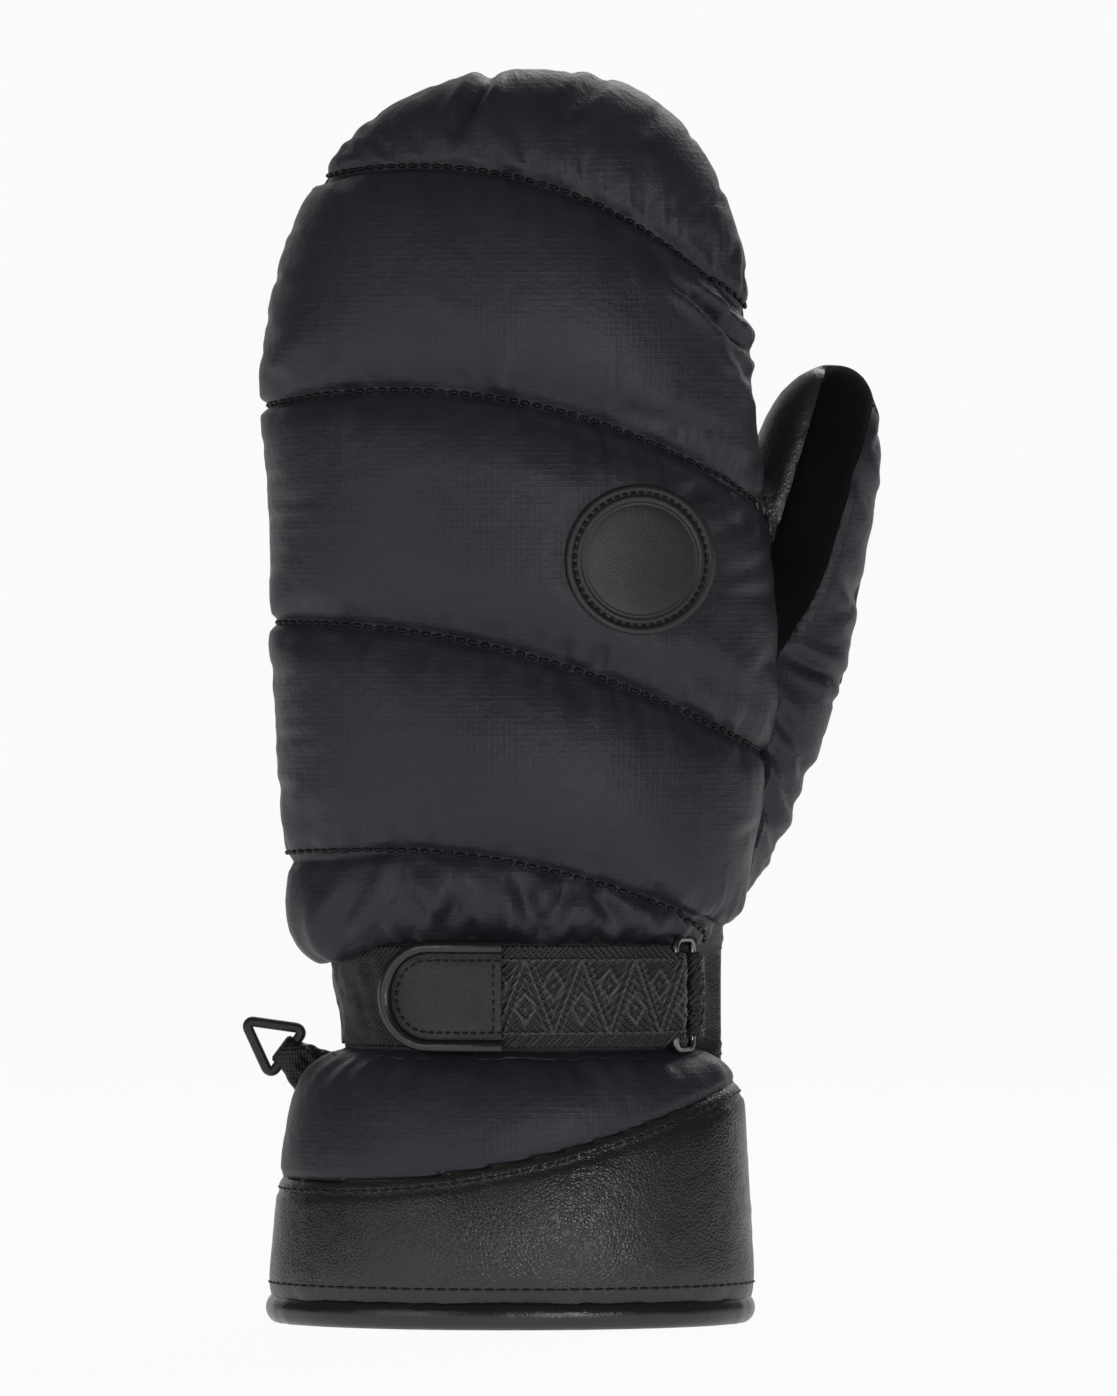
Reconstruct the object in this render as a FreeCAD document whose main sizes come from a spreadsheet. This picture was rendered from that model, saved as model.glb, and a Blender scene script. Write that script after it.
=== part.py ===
import FreeCAD, Part

import math
import os

# A padded ski mitten for the left hand, standing on the hem of its cuff with the fingers up.
#
# +X is the thumb's side, -Y the back of the hand, +Z the finger tips. The origin is the middle of the
# cuff's opening, on the plane that the hem rests on. Millimetres throughout.
#
# The soft body is a set of nested lofts, one for each face between two layers: outer fabric, padding,
# waterproof membrane, lining, and the room for the hand. A layer is one loft less the next one in,
# and the panels are cut from it along the seams. The thumb is a second set of lofts of the same kind.

DIMENSIONS = {
    # cuff, wrist and hand
    "mitten_height": 301.5,
    "gauntlet_height": 64.0,    # from the floor up to the narrow waist at the wrist
    "waist_height": 30.0,       # the straight band that the strap lies on
    "cuff_width": 116.0,
    "cuff_depth": 80.0,
    "cuff_top_width": 105.0,
    "cuff_top_depth": 70.0,
    "waist_width": 80.0,
    "waist_depth": 50.0,
    "body_shift": 2.0,          # the body leans this far towards the thumb above the cuff
    "hand_width": 118.5,
    "hand_depth": 66.0,
    "heel_width": 106.0,        # just above the waist, where the padding starts
    "heel_depth": 60.0,
    "dome_height": 84.0,        # the rounded finger end
    "seam_y": 4.0,              # the side seams lie this far behind the middle
    # layers
    "fabric": 0.8,
    "back_fill": 8.0,
    "palm_fill": 4.0,
    "side_fill": 6.0,
    "cuff_fill": 3.0,
    "thumb_fill": 4.0,
    "membrane": 0.5,
    "lining": 1.7,
    # thumb
    "thumb_top": 229.0,
    "thumb_width": 34.0,
    "thumb_root_width": 48.0,
    "thumb_dome": 44.0,
    "thumb_reach": 20.25,       # the tip stands this far outside the hand's side
    "thumb_root_in": 21.25,     # the root starts this far inside it
    "thumb_y": 20.0,
    "thumb_root_rise": 18.0,    # the root leaves the hand this far above the waist
    "suede_width": 13.0,
    "suede_length": 70.0,
    "suede_tilt": 16.6,
    # hem
    "roll_diameter": 8.0,
    "roll_core": 4.2,
    "hem_stitch": 8.6,
    "rest_flat": 0.5,           # the roll is pressed flat by this much where it rests
    # stitching
    "thread": 0.4,
    "thread_width": 1.0,
    "tip_seam_x": -24.5, "tip_seam_z": 277.5, "tip_seam_radius": 114.0,
    "finger_seam_x": -28.0, "finger_seam_z": 223.5, "finger_seam_radius": 160.0,
    "knuckle_seam_x": -58.0, "knuckle_seam_z": 168.3, "knuckle_seam_radius": 243.0,
    "wrist_seam_x": -34.0, "wrist_seam_z": 114.0, "wrist_seam_radius": 190.0,
    "leather_seam_x": -48.0, "leather_seam_z": 35.0, "leather_seam_radius": 238.0,
    # badge
    "badge_diameter": 36.0,
    "badge_thickness": 1.6,
    "badge_x": 31.2,
    "badge_z": 183.0,
    "badge_stitch": 31.5,
    # wrist strap
    "elastic": 1.5,
    "elastic_width": 28.0,
    "strap_width": 24.0,
    "webbing": 1.5,
    "loop_pile": 1.0,
    "hook_pile": 1.0,
    "strap_gap": 0.3,
    "tab_tip_x": -33.1,
    "tab_tuck": 9.0,            # the webbing ends this far inside the tab's tip
    "tab_end_x": -2.2,
    "tab_width": 26.8,
    "tab_leather": 2.0,
    "piping_width": 3.2,
    "piping_rise": 0.8,
    "patch_end_x": 24.0,
    # ring
    "ring_wire": 1.8,
    "ring_gap": 0.4,            # between the webbing's edge and the wire
    "ring_corner": 2.6,
    "strap_bar_angle": 35.0,    # round the waist from the thumb's side
    "keeper_bar_angle": 18.0,
    "hinge_play": 0.08,
    "keeper_width": 20.0,
    "keeper_leather": 1.3,
    # clip
    "clip_length": 14.2,        # the side that the webbing holds
    "clip_reach": 13.0,         # from that side to the far corner
    "clip_bar": 2.2,
    "clip_webbing": 1.2,
    "clip_fold_width": 7.6,
    "clip_webbing_width": 11.0,
    "clip_webbing_length": 20.0,
    "clip_x": -53.9,
    "clip_y": 10.0,
    "clip_z": 64.4,
    "clip_tilt": 36.7,
}

# Sizes that follow from the others.
DERIVED = {
    "waist_top": "gauntlet_height + waist_height",
    "strap_z": "gauntlet_height + waist_height / 2",
    "roll_inset": "(fabric + cuff_fill + membrane + lining) / 2",
    "roll_z": "roll_diameter / 2 - rest_flat",
    "dome_foot": "mitten_height - dome_height",
    "thumb_tip_x": "hand_width / 2 + thumb_reach",
    "thumb_root_x": "hand_width / 2 - thumb_root_in",
    "base_face": "elastic + webbing",
    "loop_face": "base_face + loop_pile",
    "hook_face": "loop_face + strap_gap",
    "flap_back": "hook_face + hook_pile",
    "flap_face": "flap_back + webbing",
    "tab_face": "flap_face + tab_leather",
    "strap_sleeve": "ring_wire / 2 + hinge_play + webbing",
    "keeper_sleeve": "ring_wire / 2 + hinge_play + keeper_leather",
    "strap_bar_out": "base_face + strap_gap + strap_sleeve",
    "keeper_bar_out": "elastic + keeper_sleeve",
    "strap_bar_x": "body_shift + (waist_width / 2 + strap_bar_out) * cos(strap_bar_angle * 1 deg)",
    "strap_bar_y": "0 - (waist_depth / 2 + strap_bar_out) * sin(strap_bar_angle * 1 deg)",
    "keeper_bar_x": "body_shift + (waist_width / 2 + keeper_bar_out) * cos(keeper_bar_angle * 1 deg)",
    "keeper_bar_y": "0 - (waist_depth / 2 + keeper_bar_out) * sin(keeper_bar_angle * 1 deg)",
    "ring_span": "sqrt((strap_bar_x - keeper_bar_x) ^ 2 + (strap_bar_y - keeper_bar_y) ^ 2)",
    "ring_height": "strap_width + 2 * ring_gap + ring_wire",
    "fold_width": "ring_height - 2 * ring_corner - ring_gap",
    "clip_sleeve": "clip_bar / 2 + hinge_play + clip_webbing",
}

DOME_POWER = 2.3        # superellipse of the finger end
THUMB_POWER = 2.2       # superellipse of the thumb's end
DOME_STEPS = (0.18, 0.34, 0.48, 0.6, 0.7, 0.79, 0.86, 0.92, 0.96, 0.985, 0.998)
BIG = 400.0             # cutting blocks reach this far past everything

doc = FreeCAD.newDocument("ski_mitten")
sheet = doc.addObject("Spreadsheet::Sheet", "dims")
for row, (name, value) in enumerate({**DIMENSIONS, **DERIVED}.items(), start=1):
    sheet.set(f"A{row}", name)
    sheet.set(f"B{row}", f"={value}" if name in DERIVED else str(value))
    sheet.setAlias(f"B{row}", name)
doc.recompute()


def expr(text):
    """The same formula with each size written as the spreadsheet's cell."""
    out = ""
    word = ""
    for character in str(text) + " ":
        if character.isalnum() or character == "_":
            word += character
            continue
        out += f"dims.{word}" if word in DIMENSIONS or word in DERIVED else word
        out += character
        word = ""
    return out.strip()


def feature(kind, name, **formulas):
    """A document object with its properties bound to formulas of the sizes."""
    item = doc.addObject(kind, name)
    for key, formula in formulas.items():
        path = f"Placement.Base.{key}" if key in ("x", "y", "z") else key
        item.setExpression(path, expr(formula))
    return item


def turned(item, axis, degrees):
    """The object turned about one axis through its own origin."""
    item.Placement.Rotation = FreeCAD.Rotation(FreeCAD.Vector(*axis), 1)
    item.setExpression("Placement.Rotation.Angle", expr(f"({degrees}) * 1 deg"))
    return item


def cut(name, base, *tools):
    """base less each tool in turn."""
    for number, tool in enumerate(tools):
        step = doc.addObject("Part::Cut", name if number == len(tools) - 1 else f"{name}_cut{number}")
        step.Base = base
        step.Tool = tool
        step.Refine = False
        base = step
    return base


def common(name, base, *tools):
    """What base shares with every tool."""
    for number, tool in enumerate(tools):
        step = doc.addObject("Part::Common", name if number == len(tools) - 1 else f"{name}_part{number}")
        step.Base = base
        step.Tool = tool
        step.Refine = False
        base = step
    return base


def fuse(name, *shapes):
    """The shapes as one."""
    whole = doc.addObject("Part::MultiFuse", name)
    whole.Shapes = list(shapes)
    whole.Refine = False
    return whole


def block(name, x=-BIG, y=-BIG, z=-BIG, length=2 * BIG, width=2 * BIG, height=2 * BIG):
    """A cutting block from its low corner."""
    return feature("Part::Box", name, x=x, y=y, z=z, Length=length, Width=width, Height=height)


def rod(name, radius, height, x=0, y=0, z=0):
    """An upright cylinder."""
    return feature("Part::Cylinder", name, x=x, y=y, z=z, Radius=radius, Height=height)


def rod_along_y(name, radius, x, z):
    """A cylinder that runs from the back of the hand to the palm, past both."""
    item = rod(name, radius, 2 * BIG, x=x, y=-BIG, z=z)
    return turned(item, (1, 0, 0), -90)


def loft(name, sections):
    """A solid through level ellipses, given as (half width, half depth, x, y, z)."""
    item = doc.addObject("Part::Loft", name)
    item.Sections = [
        feature("Part::Ellipse", f"{name}_s{number}", MajorRadius=a, MinorRadius=b, x=x, y=y, z=z)
        for number, (a, b, x, y, z) in enumerate(sections)
    ]
    item.Solid = True
    item.Ruled = True
    return item


parts = []


def node(item, name):
    """Keeps an object as one of the mitten's pieces."""
    item.Label = name
    parts.append(item)
    return item


# --- the faces between layers -----------------------------------------------------------------------

def inset(layer, fill):
    """How far a face lies inside the mitten's outside, with the padding of that zone."""
    return {
        "stitch": "0 - badge_thickness - thread",
        "badge": "0 - badge_thickness",
        "thread": "0 - thread",
        "shell": "0",
        "padding": "fabric",
        "film": f"fabric + {fill}",
        "lining": f"fabric + {fill} + membrane",
        "room": f"fabric + {fill} + membrane + lining",
    }[layer]


def rounded(share, power):
    """The share of full width that a dome has at this share of its height."""
    return (1 - share**power) ** (1 / power)


def body(layer):
    """The whole mitten without its thumb, out to one of the faces between layers."""
    cuff = [inset(layer, "cuff_fill")] * 3
    hand = [inset(layer, fill) for fill in ("side_fill", "back_fill", "palm_fill")]
    side, back, palm = hand
    levels = [
        # width, depth, lean, height, insets at the sides, back and palm
        ("cuff_width", "cuff_depth", 0, "roll_diameter / 2", cuff),
        ("cuff_width - 0.4", "cuff_depth - 0.4", 0.1, "gauntlet_height * 0.18", cuff),
        ("cuff_width * 0.76 + cuff_top_width * 0.24", "cuff_depth * 0.76 + cuff_top_depth * 0.24", 0.3,
         "gauntlet_height * 0.42", cuff),
        ("cuff_width * 0.38 + cuff_top_width * 0.62", "cuff_depth * 0.38 + cuff_top_depth * 0.62", 0.6,
         "gauntlet_height * 0.68", cuff),
        ("cuff_top_width", "cuff_top_depth", 0.9, "gauntlet_height * 0.86", cuff),
        ("cuff_top_width * 0.93", "cuff_top_depth * 0.93", 1, "gauntlet_height * 0.93", cuff),
        ("waist_width * 0.5 + cuff_top_width * 0.5", "waist_depth * 0.5 + cuff_top_depth * 0.5", 1,
         "gauntlet_height * 0.965", cuff),
        ("waist_width", "waist_depth", 1, "gauntlet_height", cuff),
        ("waist_width", "waist_depth", 1, "waist_top", cuff),
        ("waist_width * 0.5 + heel_width * 0.5", "waist_depth * 0.5 + heel_depth * 0.5", 1,
         "waist_top + 2.5", hand),
        ("heel_width * 0.95", "heel_depth * 0.94", 1, "waist_top + 5", hand),
        ("heel_width", "heel_depth", 1, "waist_top + 9", hand),
        ("heel_width * 0.75 + hand_width * 0.25", "heel_depth * 0.7 + hand_depth * 0.3", 1,
         "waist_top + 17", hand),
        ("heel_width * 0.4 + hand_width * 0.6", "heel_depth * 0.35 + hand_depth * 0.65", 1,
         "waist_top + 28", hand),
        ("heel_width * 0.12 + hand_width * 0.88", "heel_depth * 0.1 + hand_depth * 0.9", 1,
         "waist_top + 44", hand),
        ("hand_width", "hand_depth", 1, "waist_top + 66", hand),
        ("hand_width", "hand_depth", 0.8, "dome_foot - 30", hand),
        ("hand_width", "hand_depth", 0, "dome_foot", hand),
    ]
    sections = [
        (f"({width}) / 2 - ({into[0]})", f"({depth}) / 2 - ({into[1]}) / 2 - ({into[2]}) / 2",
         f"body_shift * {lean}", f"({into[1]}) / 2 - ({into[2]}) / 2", z)
        for width, depth, lean, z, into in levels
    ]
    for share in DOME_STEPS:
        size = rounded(share, DOME_POWER)
        sections.append((
            f"{size:.4f} * (hand_width / 2 - ({side}))",
            f"{size:.4f} * (hand_depth / 2 - ({back}) / 2 - ({palm}) / 2)",
            f"{3 * share:.2f}",
            f"({back}) / 2 - ({palm}) / 2",
            f"dome_foot + {share} * (dome_height - ({side}))",
        ))
    return loft(f"hand_face_{layer}", sections)


def thumb(layer):
    """The thumb and the root that it shares with the hand, out to one of the faces between layers."""
    into = inset(layer, "thumb_fill")
    root = "waist_top + thumb_root_rise"
    foot = "thumb_top - thumb_dome"
    axis_x = "thumb_tip_x - 11"
    sections = [
        (f"thumb_root_width / 2 - 4 - ({into})", f"thumb_width / 2 - 4 - ({into})",
         "thumb_root_x - 12", "thumb_y - 15", f"{root} - 14"),
        (f"thumb_root_width / 2 - ({into})", f"thumb_width / 2 - 0.5 - ({into})", "thumb_root_x",
         "thumb_y - 5", root),
    ]
    for share in (0.2, 0.4, 0.6, 0.8, 1.0):
        late = share**1.15
        sections.append((
            f"(thumb_root_width * {1 - late:.3f} + thumb_width * {late:.3f}) / 2 - ({into})",
            f"thumb_width / 2 - ({into})",
            f"thumb_root_x * {(1 - share)**1.2:.3f} + ({axis_x}) * {1 - (1 - share)**1.2:.3f}",
            f"thumb_y - {5 * (1 - share)**2:.2f}",
            f"({root}) * {1 - share:.2f} + ({foot}) * {share}",
        ))
    for share in DOME_STEPS:
        size = rounded(share, THUMB_POWER)
        sections.append((
            f"{size:.4f} * (thumb_width / 2 - ({into}))",
            f"{size:.4f} * (thumb_width / 2 - ({into}))",
            f"{axis_x} + {share} * 11",
            "thumb_y",
            f"{foot} + {share} * (thumb_dome - ({into}))",
        ))
    return loft(f"thumb_face_{layer}", sections)


SKINS = ("shell", "padding", "film", "lining", "room")
bodies = {layer: body(layer) for layer in ("stitch", "badge", "thread") + SKINS}
thumbs = {layer: thumb(layer) for layer in SKINS}

back_side = block("back_side", width=f"{BIG} + seam_y")
palm_side = block("palm_side", y="seam_y")
hand_zone = block("hand_zone", z="gauntlet_height")
cuff_zone = block("cuff_zone", height=f"{BIG} + gauntlet_height")


# --- skins, padding, membrane and lining ------------------------------------------------------------

def hand_wall(name, outer, inner, *zones):
    """What lies between two faces of the hand, open towards the thumb."""
    return cut(name, common(f"{name}_zone", bodies[outer], *zones), bodies[inner], thumbs[inner])


def thumb_wall(name, outer, inner, base=None):
    """What lies between two faces of the thumb, up to the hand."""
    return cut(name, base or thumbs[outer], thumbs[inner], bodies[outer])


def ellipse_ring(name, diameter):
    """A round bar bent along the middle of the cuff's edge."""
    line = feature("Part::Ellipse", f"{name}_line", MajorRadius="cuff_width / 2 - roll_inset",
                   MinorRadius="cuff_depth / 2 - roll_inset", z="roll_z")
    circle = feature("Part::Circle", f"{name}_round", Radius=f"{diameter} / 2",
                     x="cuff_width / 2 - roll_inset", z="roll_z")
    circle.Placement.Rotation = FreeCAD.Rotation(FreeCAD.Vector(1, 0, 0), 90)
    ring = doc.addObject("Part::Sweep", name)
    ring.Sections = [circle]
    ring.Spine = (line, ["Edge1"])
    ring.Solid = True
    return ring


roll = ellipse_ring("roll", "roll_diameter")
core = ellipse_ring("core", "roll_core")
floor = block("floor", height=BIG)

node(hand_wall("back_shell", "shell", "padding", hand_zone, back_side), "back_shell")
node(hand_wall("palm_leather", "shell", "padding", hand_zone, palm_side), "palm_leather")
node(hand_wall("back_insulation", "padding", "film", hand_zone, back_side), "back_insulation")
node(hand_wall("palm_insulation", "padding", "film", hand_zone, palm_side), "palm_insulation")
node(hand_wall("back_lining", "lining", "room", hand_zone, back_side), "back_lining")
node(hand_wall("palm_lining", "lining", "room", hand_zone, palm_side), "palm_lining")

film = common("film", fuse("film_outside", bodies["film"], thumbs["film"]), hand_zone)
node(cut("membrane_film", film, bodies["lining"], thumbs["lining"]), "membrane")

# The thumb's skin is three panels: suede along its back, nylon beside it, leather round the palm side.
def tilted(name, x, length, z, height, depth):
    """A block that leans with the thumb, from the seam between leather and suede."""
    item = feature("Part::Box", name, Length=length, Width=f"{BIG} + {depth}", Height=height)
    turned(item, (0, 1, 0), "suede_tilt")
    low = f"(({z}) - thumb_top)"
    item.setExpression("Placement.Base.x", expr(
        f"thumb_tip_x - 4 + ({x}) * cos(suede_tilt * 1 deg) + {low} * sin(suede_tilt * 1 deg)"))
    item.setExpression("Placement.Base.y", expr(f"0 - {BIG}"))
    item.setExpression("Placement.Base.z", expr(
        f"thumb_top + {low} * cos(suede_tilt * 1 deg) - ({x}) * sin(suede_tilt * 1 deg)"))
    return item


suede_zone = tilted("suede_zone", 0, "suede_width", "thumb_top - suede_length", BIG, "thumb_y")
nylon_zone = tilted("nylon_zone", 0, BIG, f"thumb_top - {BIG} / 2", BIG, "thumb_y + 6")
for name, base in (
    ("thumb_suede", common("suede_block", thumbs["shell"], suede_zone)),
    ("thumb_shell", cut("nylon_block", common("nylon_half", thumbs["shell"], nylon_zone), suede_zone)),
    ("thumb_leather", cut("leather_block", thumbs["shell"], nylon_zone)),
):
    node(thumb_wall(name, "shell", "padding", base), name)
node(thumb_wall("thumb_insulation", "padding", "film"), "thumb_insulation")
node(thumb_wall("thumb_lining", "lining", "room"), "thumb_lining")

# --- cuff -------------------------------------------------------------------------------------------

def cuff_wall(name, outer, inner, *zones, less=()):
    """What lies between two faces of the cuff, down to the roll at its edge."""
    return cut(name, common(f"{name}_zone", bodies[outer], cuff_zone, *zones), *less, bodies[inner], roll)


def seam_rod(name, seam, out="0"):
    """The inside of the arc that a seam follows over the back, grown by a distance."""
    return rod_along_y(name, f"{seam}_seam_radius + {out}", f"{seam}_seam_x",
                       f"{seam}_seam_z - {seam}_seam_radius")


def low_seam_rod(name, seam, out="0"):
    """The same for a seam whose arc sags."""
    return rod_along_y(name, f"{seam}_seam_radius + {out}", f"{seam}_seam_x",
                       f"{seam}_seam_z + {seam}_seam_radius")


leather_seam = low_seam_rod("leather_seam", "leather")
node(cuff_wall("gauntlet_fabric", "shell", "padding", back_side, leather_seam), "gauntlet_fabric")
node(cuff_wall("gauntlet_leather", "shell", "padding", back_side, less=[leather_seam]), "gauntlet_leather")
node(cuff_wall("gauntlet_palm", "shell", "padding", palm_side), "gauntlet_palm")
node(cuff_wall("gauntlet_insulation", "padding", "film"), "gauntlet_insulation")
node(cuff_wall("gauntlet_lining", "film", "room"), "gauntlet_lining")
node(cut("hem_binding", common("hem_roll", roll, block("above_floor", z=0)), core), "hem_binding")
node(core, "hem_cord")

# --- stitching and badge ----------------------------------------------------------------------------

thread_skin = cut("thread_skin", bodies["thread"], bodies["shell"])
stitched = common("stitched", thread_skin, block("front", width=f"{BIG} - 3"))
for seam in ("tip", "finger", "knuckle", "wrist"):
    row = cut(f"{seam}_row", seam_rod(f"{seam}_outside", seam, "thread_width"),
              seam_rod(f"{seam}_inside", seam))
    upper = block(f"{seam}_upper", z=f"{seam}_seam_z - {seam}_seam_radius / 2")
    node(common(f"{seam}_thread", stitched, upper, row, hand_zone), f"quilt_thread_{seam}")
row = cut("cuff_row", low_seam_rod("cuff_row_outside", "leather", "2 * thread_width + 0.6"),
          low_seam_rod("cuff_row_inside", "leather", "thread_width + 0.6"))
node(common("cuff_thread", stitched, row, cuff_zone), "gauntlet_thread")
node(common("hem_thread", thread_skin, block("hem_row", z="hem_stitch", height="thread_width")), "hem_thread")

badge_face = rod_along_y("badge_face", "badge_diameter / 2", "badge_x", "badge_z")
front_half = block("front_half", width=BIG)
badge_skin = cut("badge_skin", bodies["badge"], bodies["shell"])
node(common("badge", badge_skin, badge_face, front_half), "badge_patch")
badge_row = cut(
    "badge_row",
    rod_along_y("badge_row_outside", "badge_stitch / 2 + thread_width", "badge_x", "badge_z"),
    rod_along_y("badge_row_inside", "badge_stitch / 2", "badge_x", "badge_z"),
)
stitch_skin = cut("stitch_skin", bodies["stitch"], bodies["badge"])
node(common("badge_thread", stitch_skin, badge_row, front_half), "badge_thread")

# --- wrist strap ------------------------------------------------------------------------------------

def drum(name, out, height):
    """The waist grown by a distance, centred on the strap."""
    line = feature("Part::Ellipse", f"{name}_line", MajorRadius=f"waist_width / 2 + {out}",
                   MinorRadius=f"waist_depth / 2 + {out}", x="body_shift", z=f"strap_z - ({height}) / 2")
    solid = feature("Part::Extrusion", name, LengthFwd=height)
    solid.Base = line
    solid.DirMode = "Custom"
    solid.Dir = FreeCAD.Vector(0, 0, 1)
    solid.Solid = True
    return solid


def band(name, inner, outer, height, *zones):
    """A strip that lies round the waist between two distances from it."""
    ring = cut(f"{name}_ring", drum(f"{name}_outside", outer, height), drum(f"{name}_inside", inner, height))
    return common(name, ring, *zones)


def between(name, low, high, top="0"):
    """The back of the wrist between two places across it."""
    return block(name, x=low, length=f"({high}) - ({low})", width=f"{BIG} + ({top})")


node(band("elastic", "0", "elastic", "elastic_width", back_side), "wrist_elastic")
node(band("base", "elastic", "base_face", "strap_width",
          between("base_run", -BIG, "strap_bar_x", "seam_y")), "strap_base")
node(band("loop", "base_face", "loop_face", "strap_width - 1",
          between("loop_run", "tab_tip_x", "patch_end_x")), "loop_patch")
node(band("hook", "hook_face", "flap_back", "strap_width - 2",
          between("hook_run", "tab_tip_x + 3.5", "tab_end_x - 2")), "hook_patch")

strap_bore = rod("strap_bore", "ring_wire / 2 + hinge_play", "2 * strap_width", x="strap_bar_x",
                 y="strap_bar_y", z="strap_z - strap_width")
strap_fold = rod("strap_fold", "strap_sleeve", "fold_width", x="strap_bar_x", y="strap_bar_y",
                 z="strap_z - fold_width / 2")
arm = band("arm", "flap_back", "flap_face", "strap_width",
           between("arm_run", "tab_tip_x + tab_tuck", "strap_bar_x - strap_sleeve - ring_gap"))
# The webbing narrows where it turns round the bar, to pass between the ring's round corners.
neck = band("neck", "flap_back", "flap_face", "fold_width",
            between("neck_run", "strap_bar_x - 2 * strap_sleeve", "strap_bar_x"))
flap = node(cut("flap", fuse("flap_solid", arm, neck, strap_fold), strap_bore), "strap_flap")


def tab_outline(name, inset, end):
    """The tab's round-ended shape, looking at the back of the hand."""
    tip = rod_along_y(f"{name}_tip", f"tab_width / 2 - ({inset})", "tab_tip_x + tab_width / 2", "strap_z")
    straight = block(f"{name}_straight", x="tab_tip_x + tab_width / 2",
                     z=f"strap_z - tab_width / 2 + {inset}",
                     length=f"tab_end_x - ({end}) - tab_tip_x - tab_width / 2",
                     height=f"tab_width - 2 * ({inset})")
    return fuse(name, tip, straight)


tab_edge = tab_outline("tab_edge", "0", "0")
tab_middle = tab_outline("tab_middle", "piping_width", "0")
node(band("tab", "flap_face", "tab_face", "tab_width", front_half, tab_middle), "strap_tab")
rim = band("rim", "flap_back", "tab_face + piping_rise", "tab_width", front_half, tab_edge)
node(cut("piping", rim, tab_middle, flap), "tab_piping")
tab_row = cut("tab_row", tab_outline("tab_row_outside", "piping_width + 1.6", "2.4"),
              tab_outline("tab_row_inside", "piping_width + 1.6 + thread_width", "2.4 + thread_width"))
node(band("tab_stitch", "tab_face", "tab_face + thread", "tab_width", front_half, tab_row), "tab_thread")

# --- ring and its keeper ----------------------------------------------------------------------------

def wire_bar(name, x, z, length, axis=None):
    """A straight of the ring's wire, upright or across."""
    item = rod(name, "ring_wire / 2", length, x=x, z=z)
    if axis:
        item.Placement.Rotation = FreeCAD.Rotation(FreeCAD.Vector(*axis), 90)
    return item


reach = "(ring_height / 2 - ring_corner)"
wires = [
    wire_bar("keeper_bar", "0", f"0 - {reach}", f"2 * {reach}"),
    wire_bar("strap_bar", "ring_span", f"0 - {reach}", f"2 * {reach}"),
    wire_bar("top_bar", "ring_corner", "ring_height / 2", "ring_span - 2 * ring_corner", (0, 1, 0)),
    wire_bar("low_bar", "ring_corner", "0 - ring_height / 2", "ring_span - 2 * ring_corner", (0, 1, 0)),
]
for quarter, (x, z) in enumerate((("ring_span - ring_corner", reach), ("ring_corner", reach),
                                  ("ring_corner", f"0 - {reach}"),
                                  ("ring_span - ring_corner", f"0 - {reach}"))):
    corner = feature("Part::Torus", f"ring_corner_{quarter}", Radius1="ring_corner", Radius2="ring_wire / 2",
                     x=x, z=z)
    corner.Angle3 = 90
    corner.Placement.Rotation = (FreeCAD.Rotation(FreeCAD.Vector(1, 0, 0), 90)
                                 * FreeCAD.Rotation(FreeCAD.Vector(0, 0, 1), 90 * quarter))
    wires.append(corner)
ring = fuse("ring", *wires)
turned(ring, (0, 0, 1), 0)
ring.setExpression("Placement.Rotation.Angle", expr(
    "atan2(strap_bar_y - keeper_bar_y; strap_bar_x - keeper_bar_x)"))
for key, formula in (("x", "keeper_bar_x"), ("y", "keeper_bar_y"), ("z", "strap_z")):
    ring.setExpression(f"Placement.Base.{key}", expr(formula))
node(ring, "strap_ring")

keeper_fold = rod("keeper_fold", "keeper_sleeve", "keeper_width", x="keeper_bar_x", y="keeper_bar_y",
                  z="strap_z - keeper_width / 2")
keeper_bore = rod("keeper_bore", "ring_wire / 2 + hinge_play", "2 * keeper_width", x="keeper_bar_x",
                  y="keeper_bar_y", z="strap_z - keeper_width")
keeper_run = block("keeper_run", x=0, y="keeper_bar_y", width="seam_y - keeper_bar_y")
keeper_strip = band("keeper_strip", "elastic", "elastic + keeper_leather", "keeper_width", keeper_run)
node(cut("keeper", fuse("keeper_solid", keeper_strip, keeper_fold), keeper_bore), "ring_keeper")

# --- clip -------------------------------------------------------------------------------------------

def clip_place(item):
    """Turns a shape built round the held side of the clip to its place beside the cuff."""
    turned(item, (0, 1, 0), "clip_tilt - 90")
    for key in ("x", "y", "z"):
        item.setExpression(f"Placement.Base.{key}", expr(f"clip_{key}"))
    return item


side = "sqrt(clip_length ^ 2 / 4 + clip_reach ^ 2)"
held = rod("clip_held", "clip_bar / 2", "clip_length", x="0 - clip_length / 2")
held.Placement.Rotation = FreeCAD.Rotation(FreeCAD.Vector(0, 1, 0), 90)
bars = [held]
for number, sign in enumerate((1, -1)):
    bar = rod(f"clip_side_{number}", "clip_bar / 2", side, x=f"{sign} * clip_length / 2")
    turned(bar, (0, 1, 0), 0)
    bar.setExpression("Placement.Rotation.Angle", expr(f"{-sign} * atan2(clip_length / 2; clip_reach)"))
    bars.append(bar)
corners = (("clip_length / 2", "0"), ("0 - clip_length / 2", "0"), ("0", "clip_reach"))
for number, (x, z) in enumerate(corners):
    bars.append(feature("Part::Sphere", f"clip_corner_{number}", Radius="clip_bar / 2", x=x, z=z))
node(clip_place(fuse("clip", *bars)), "clip_ring")

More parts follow.
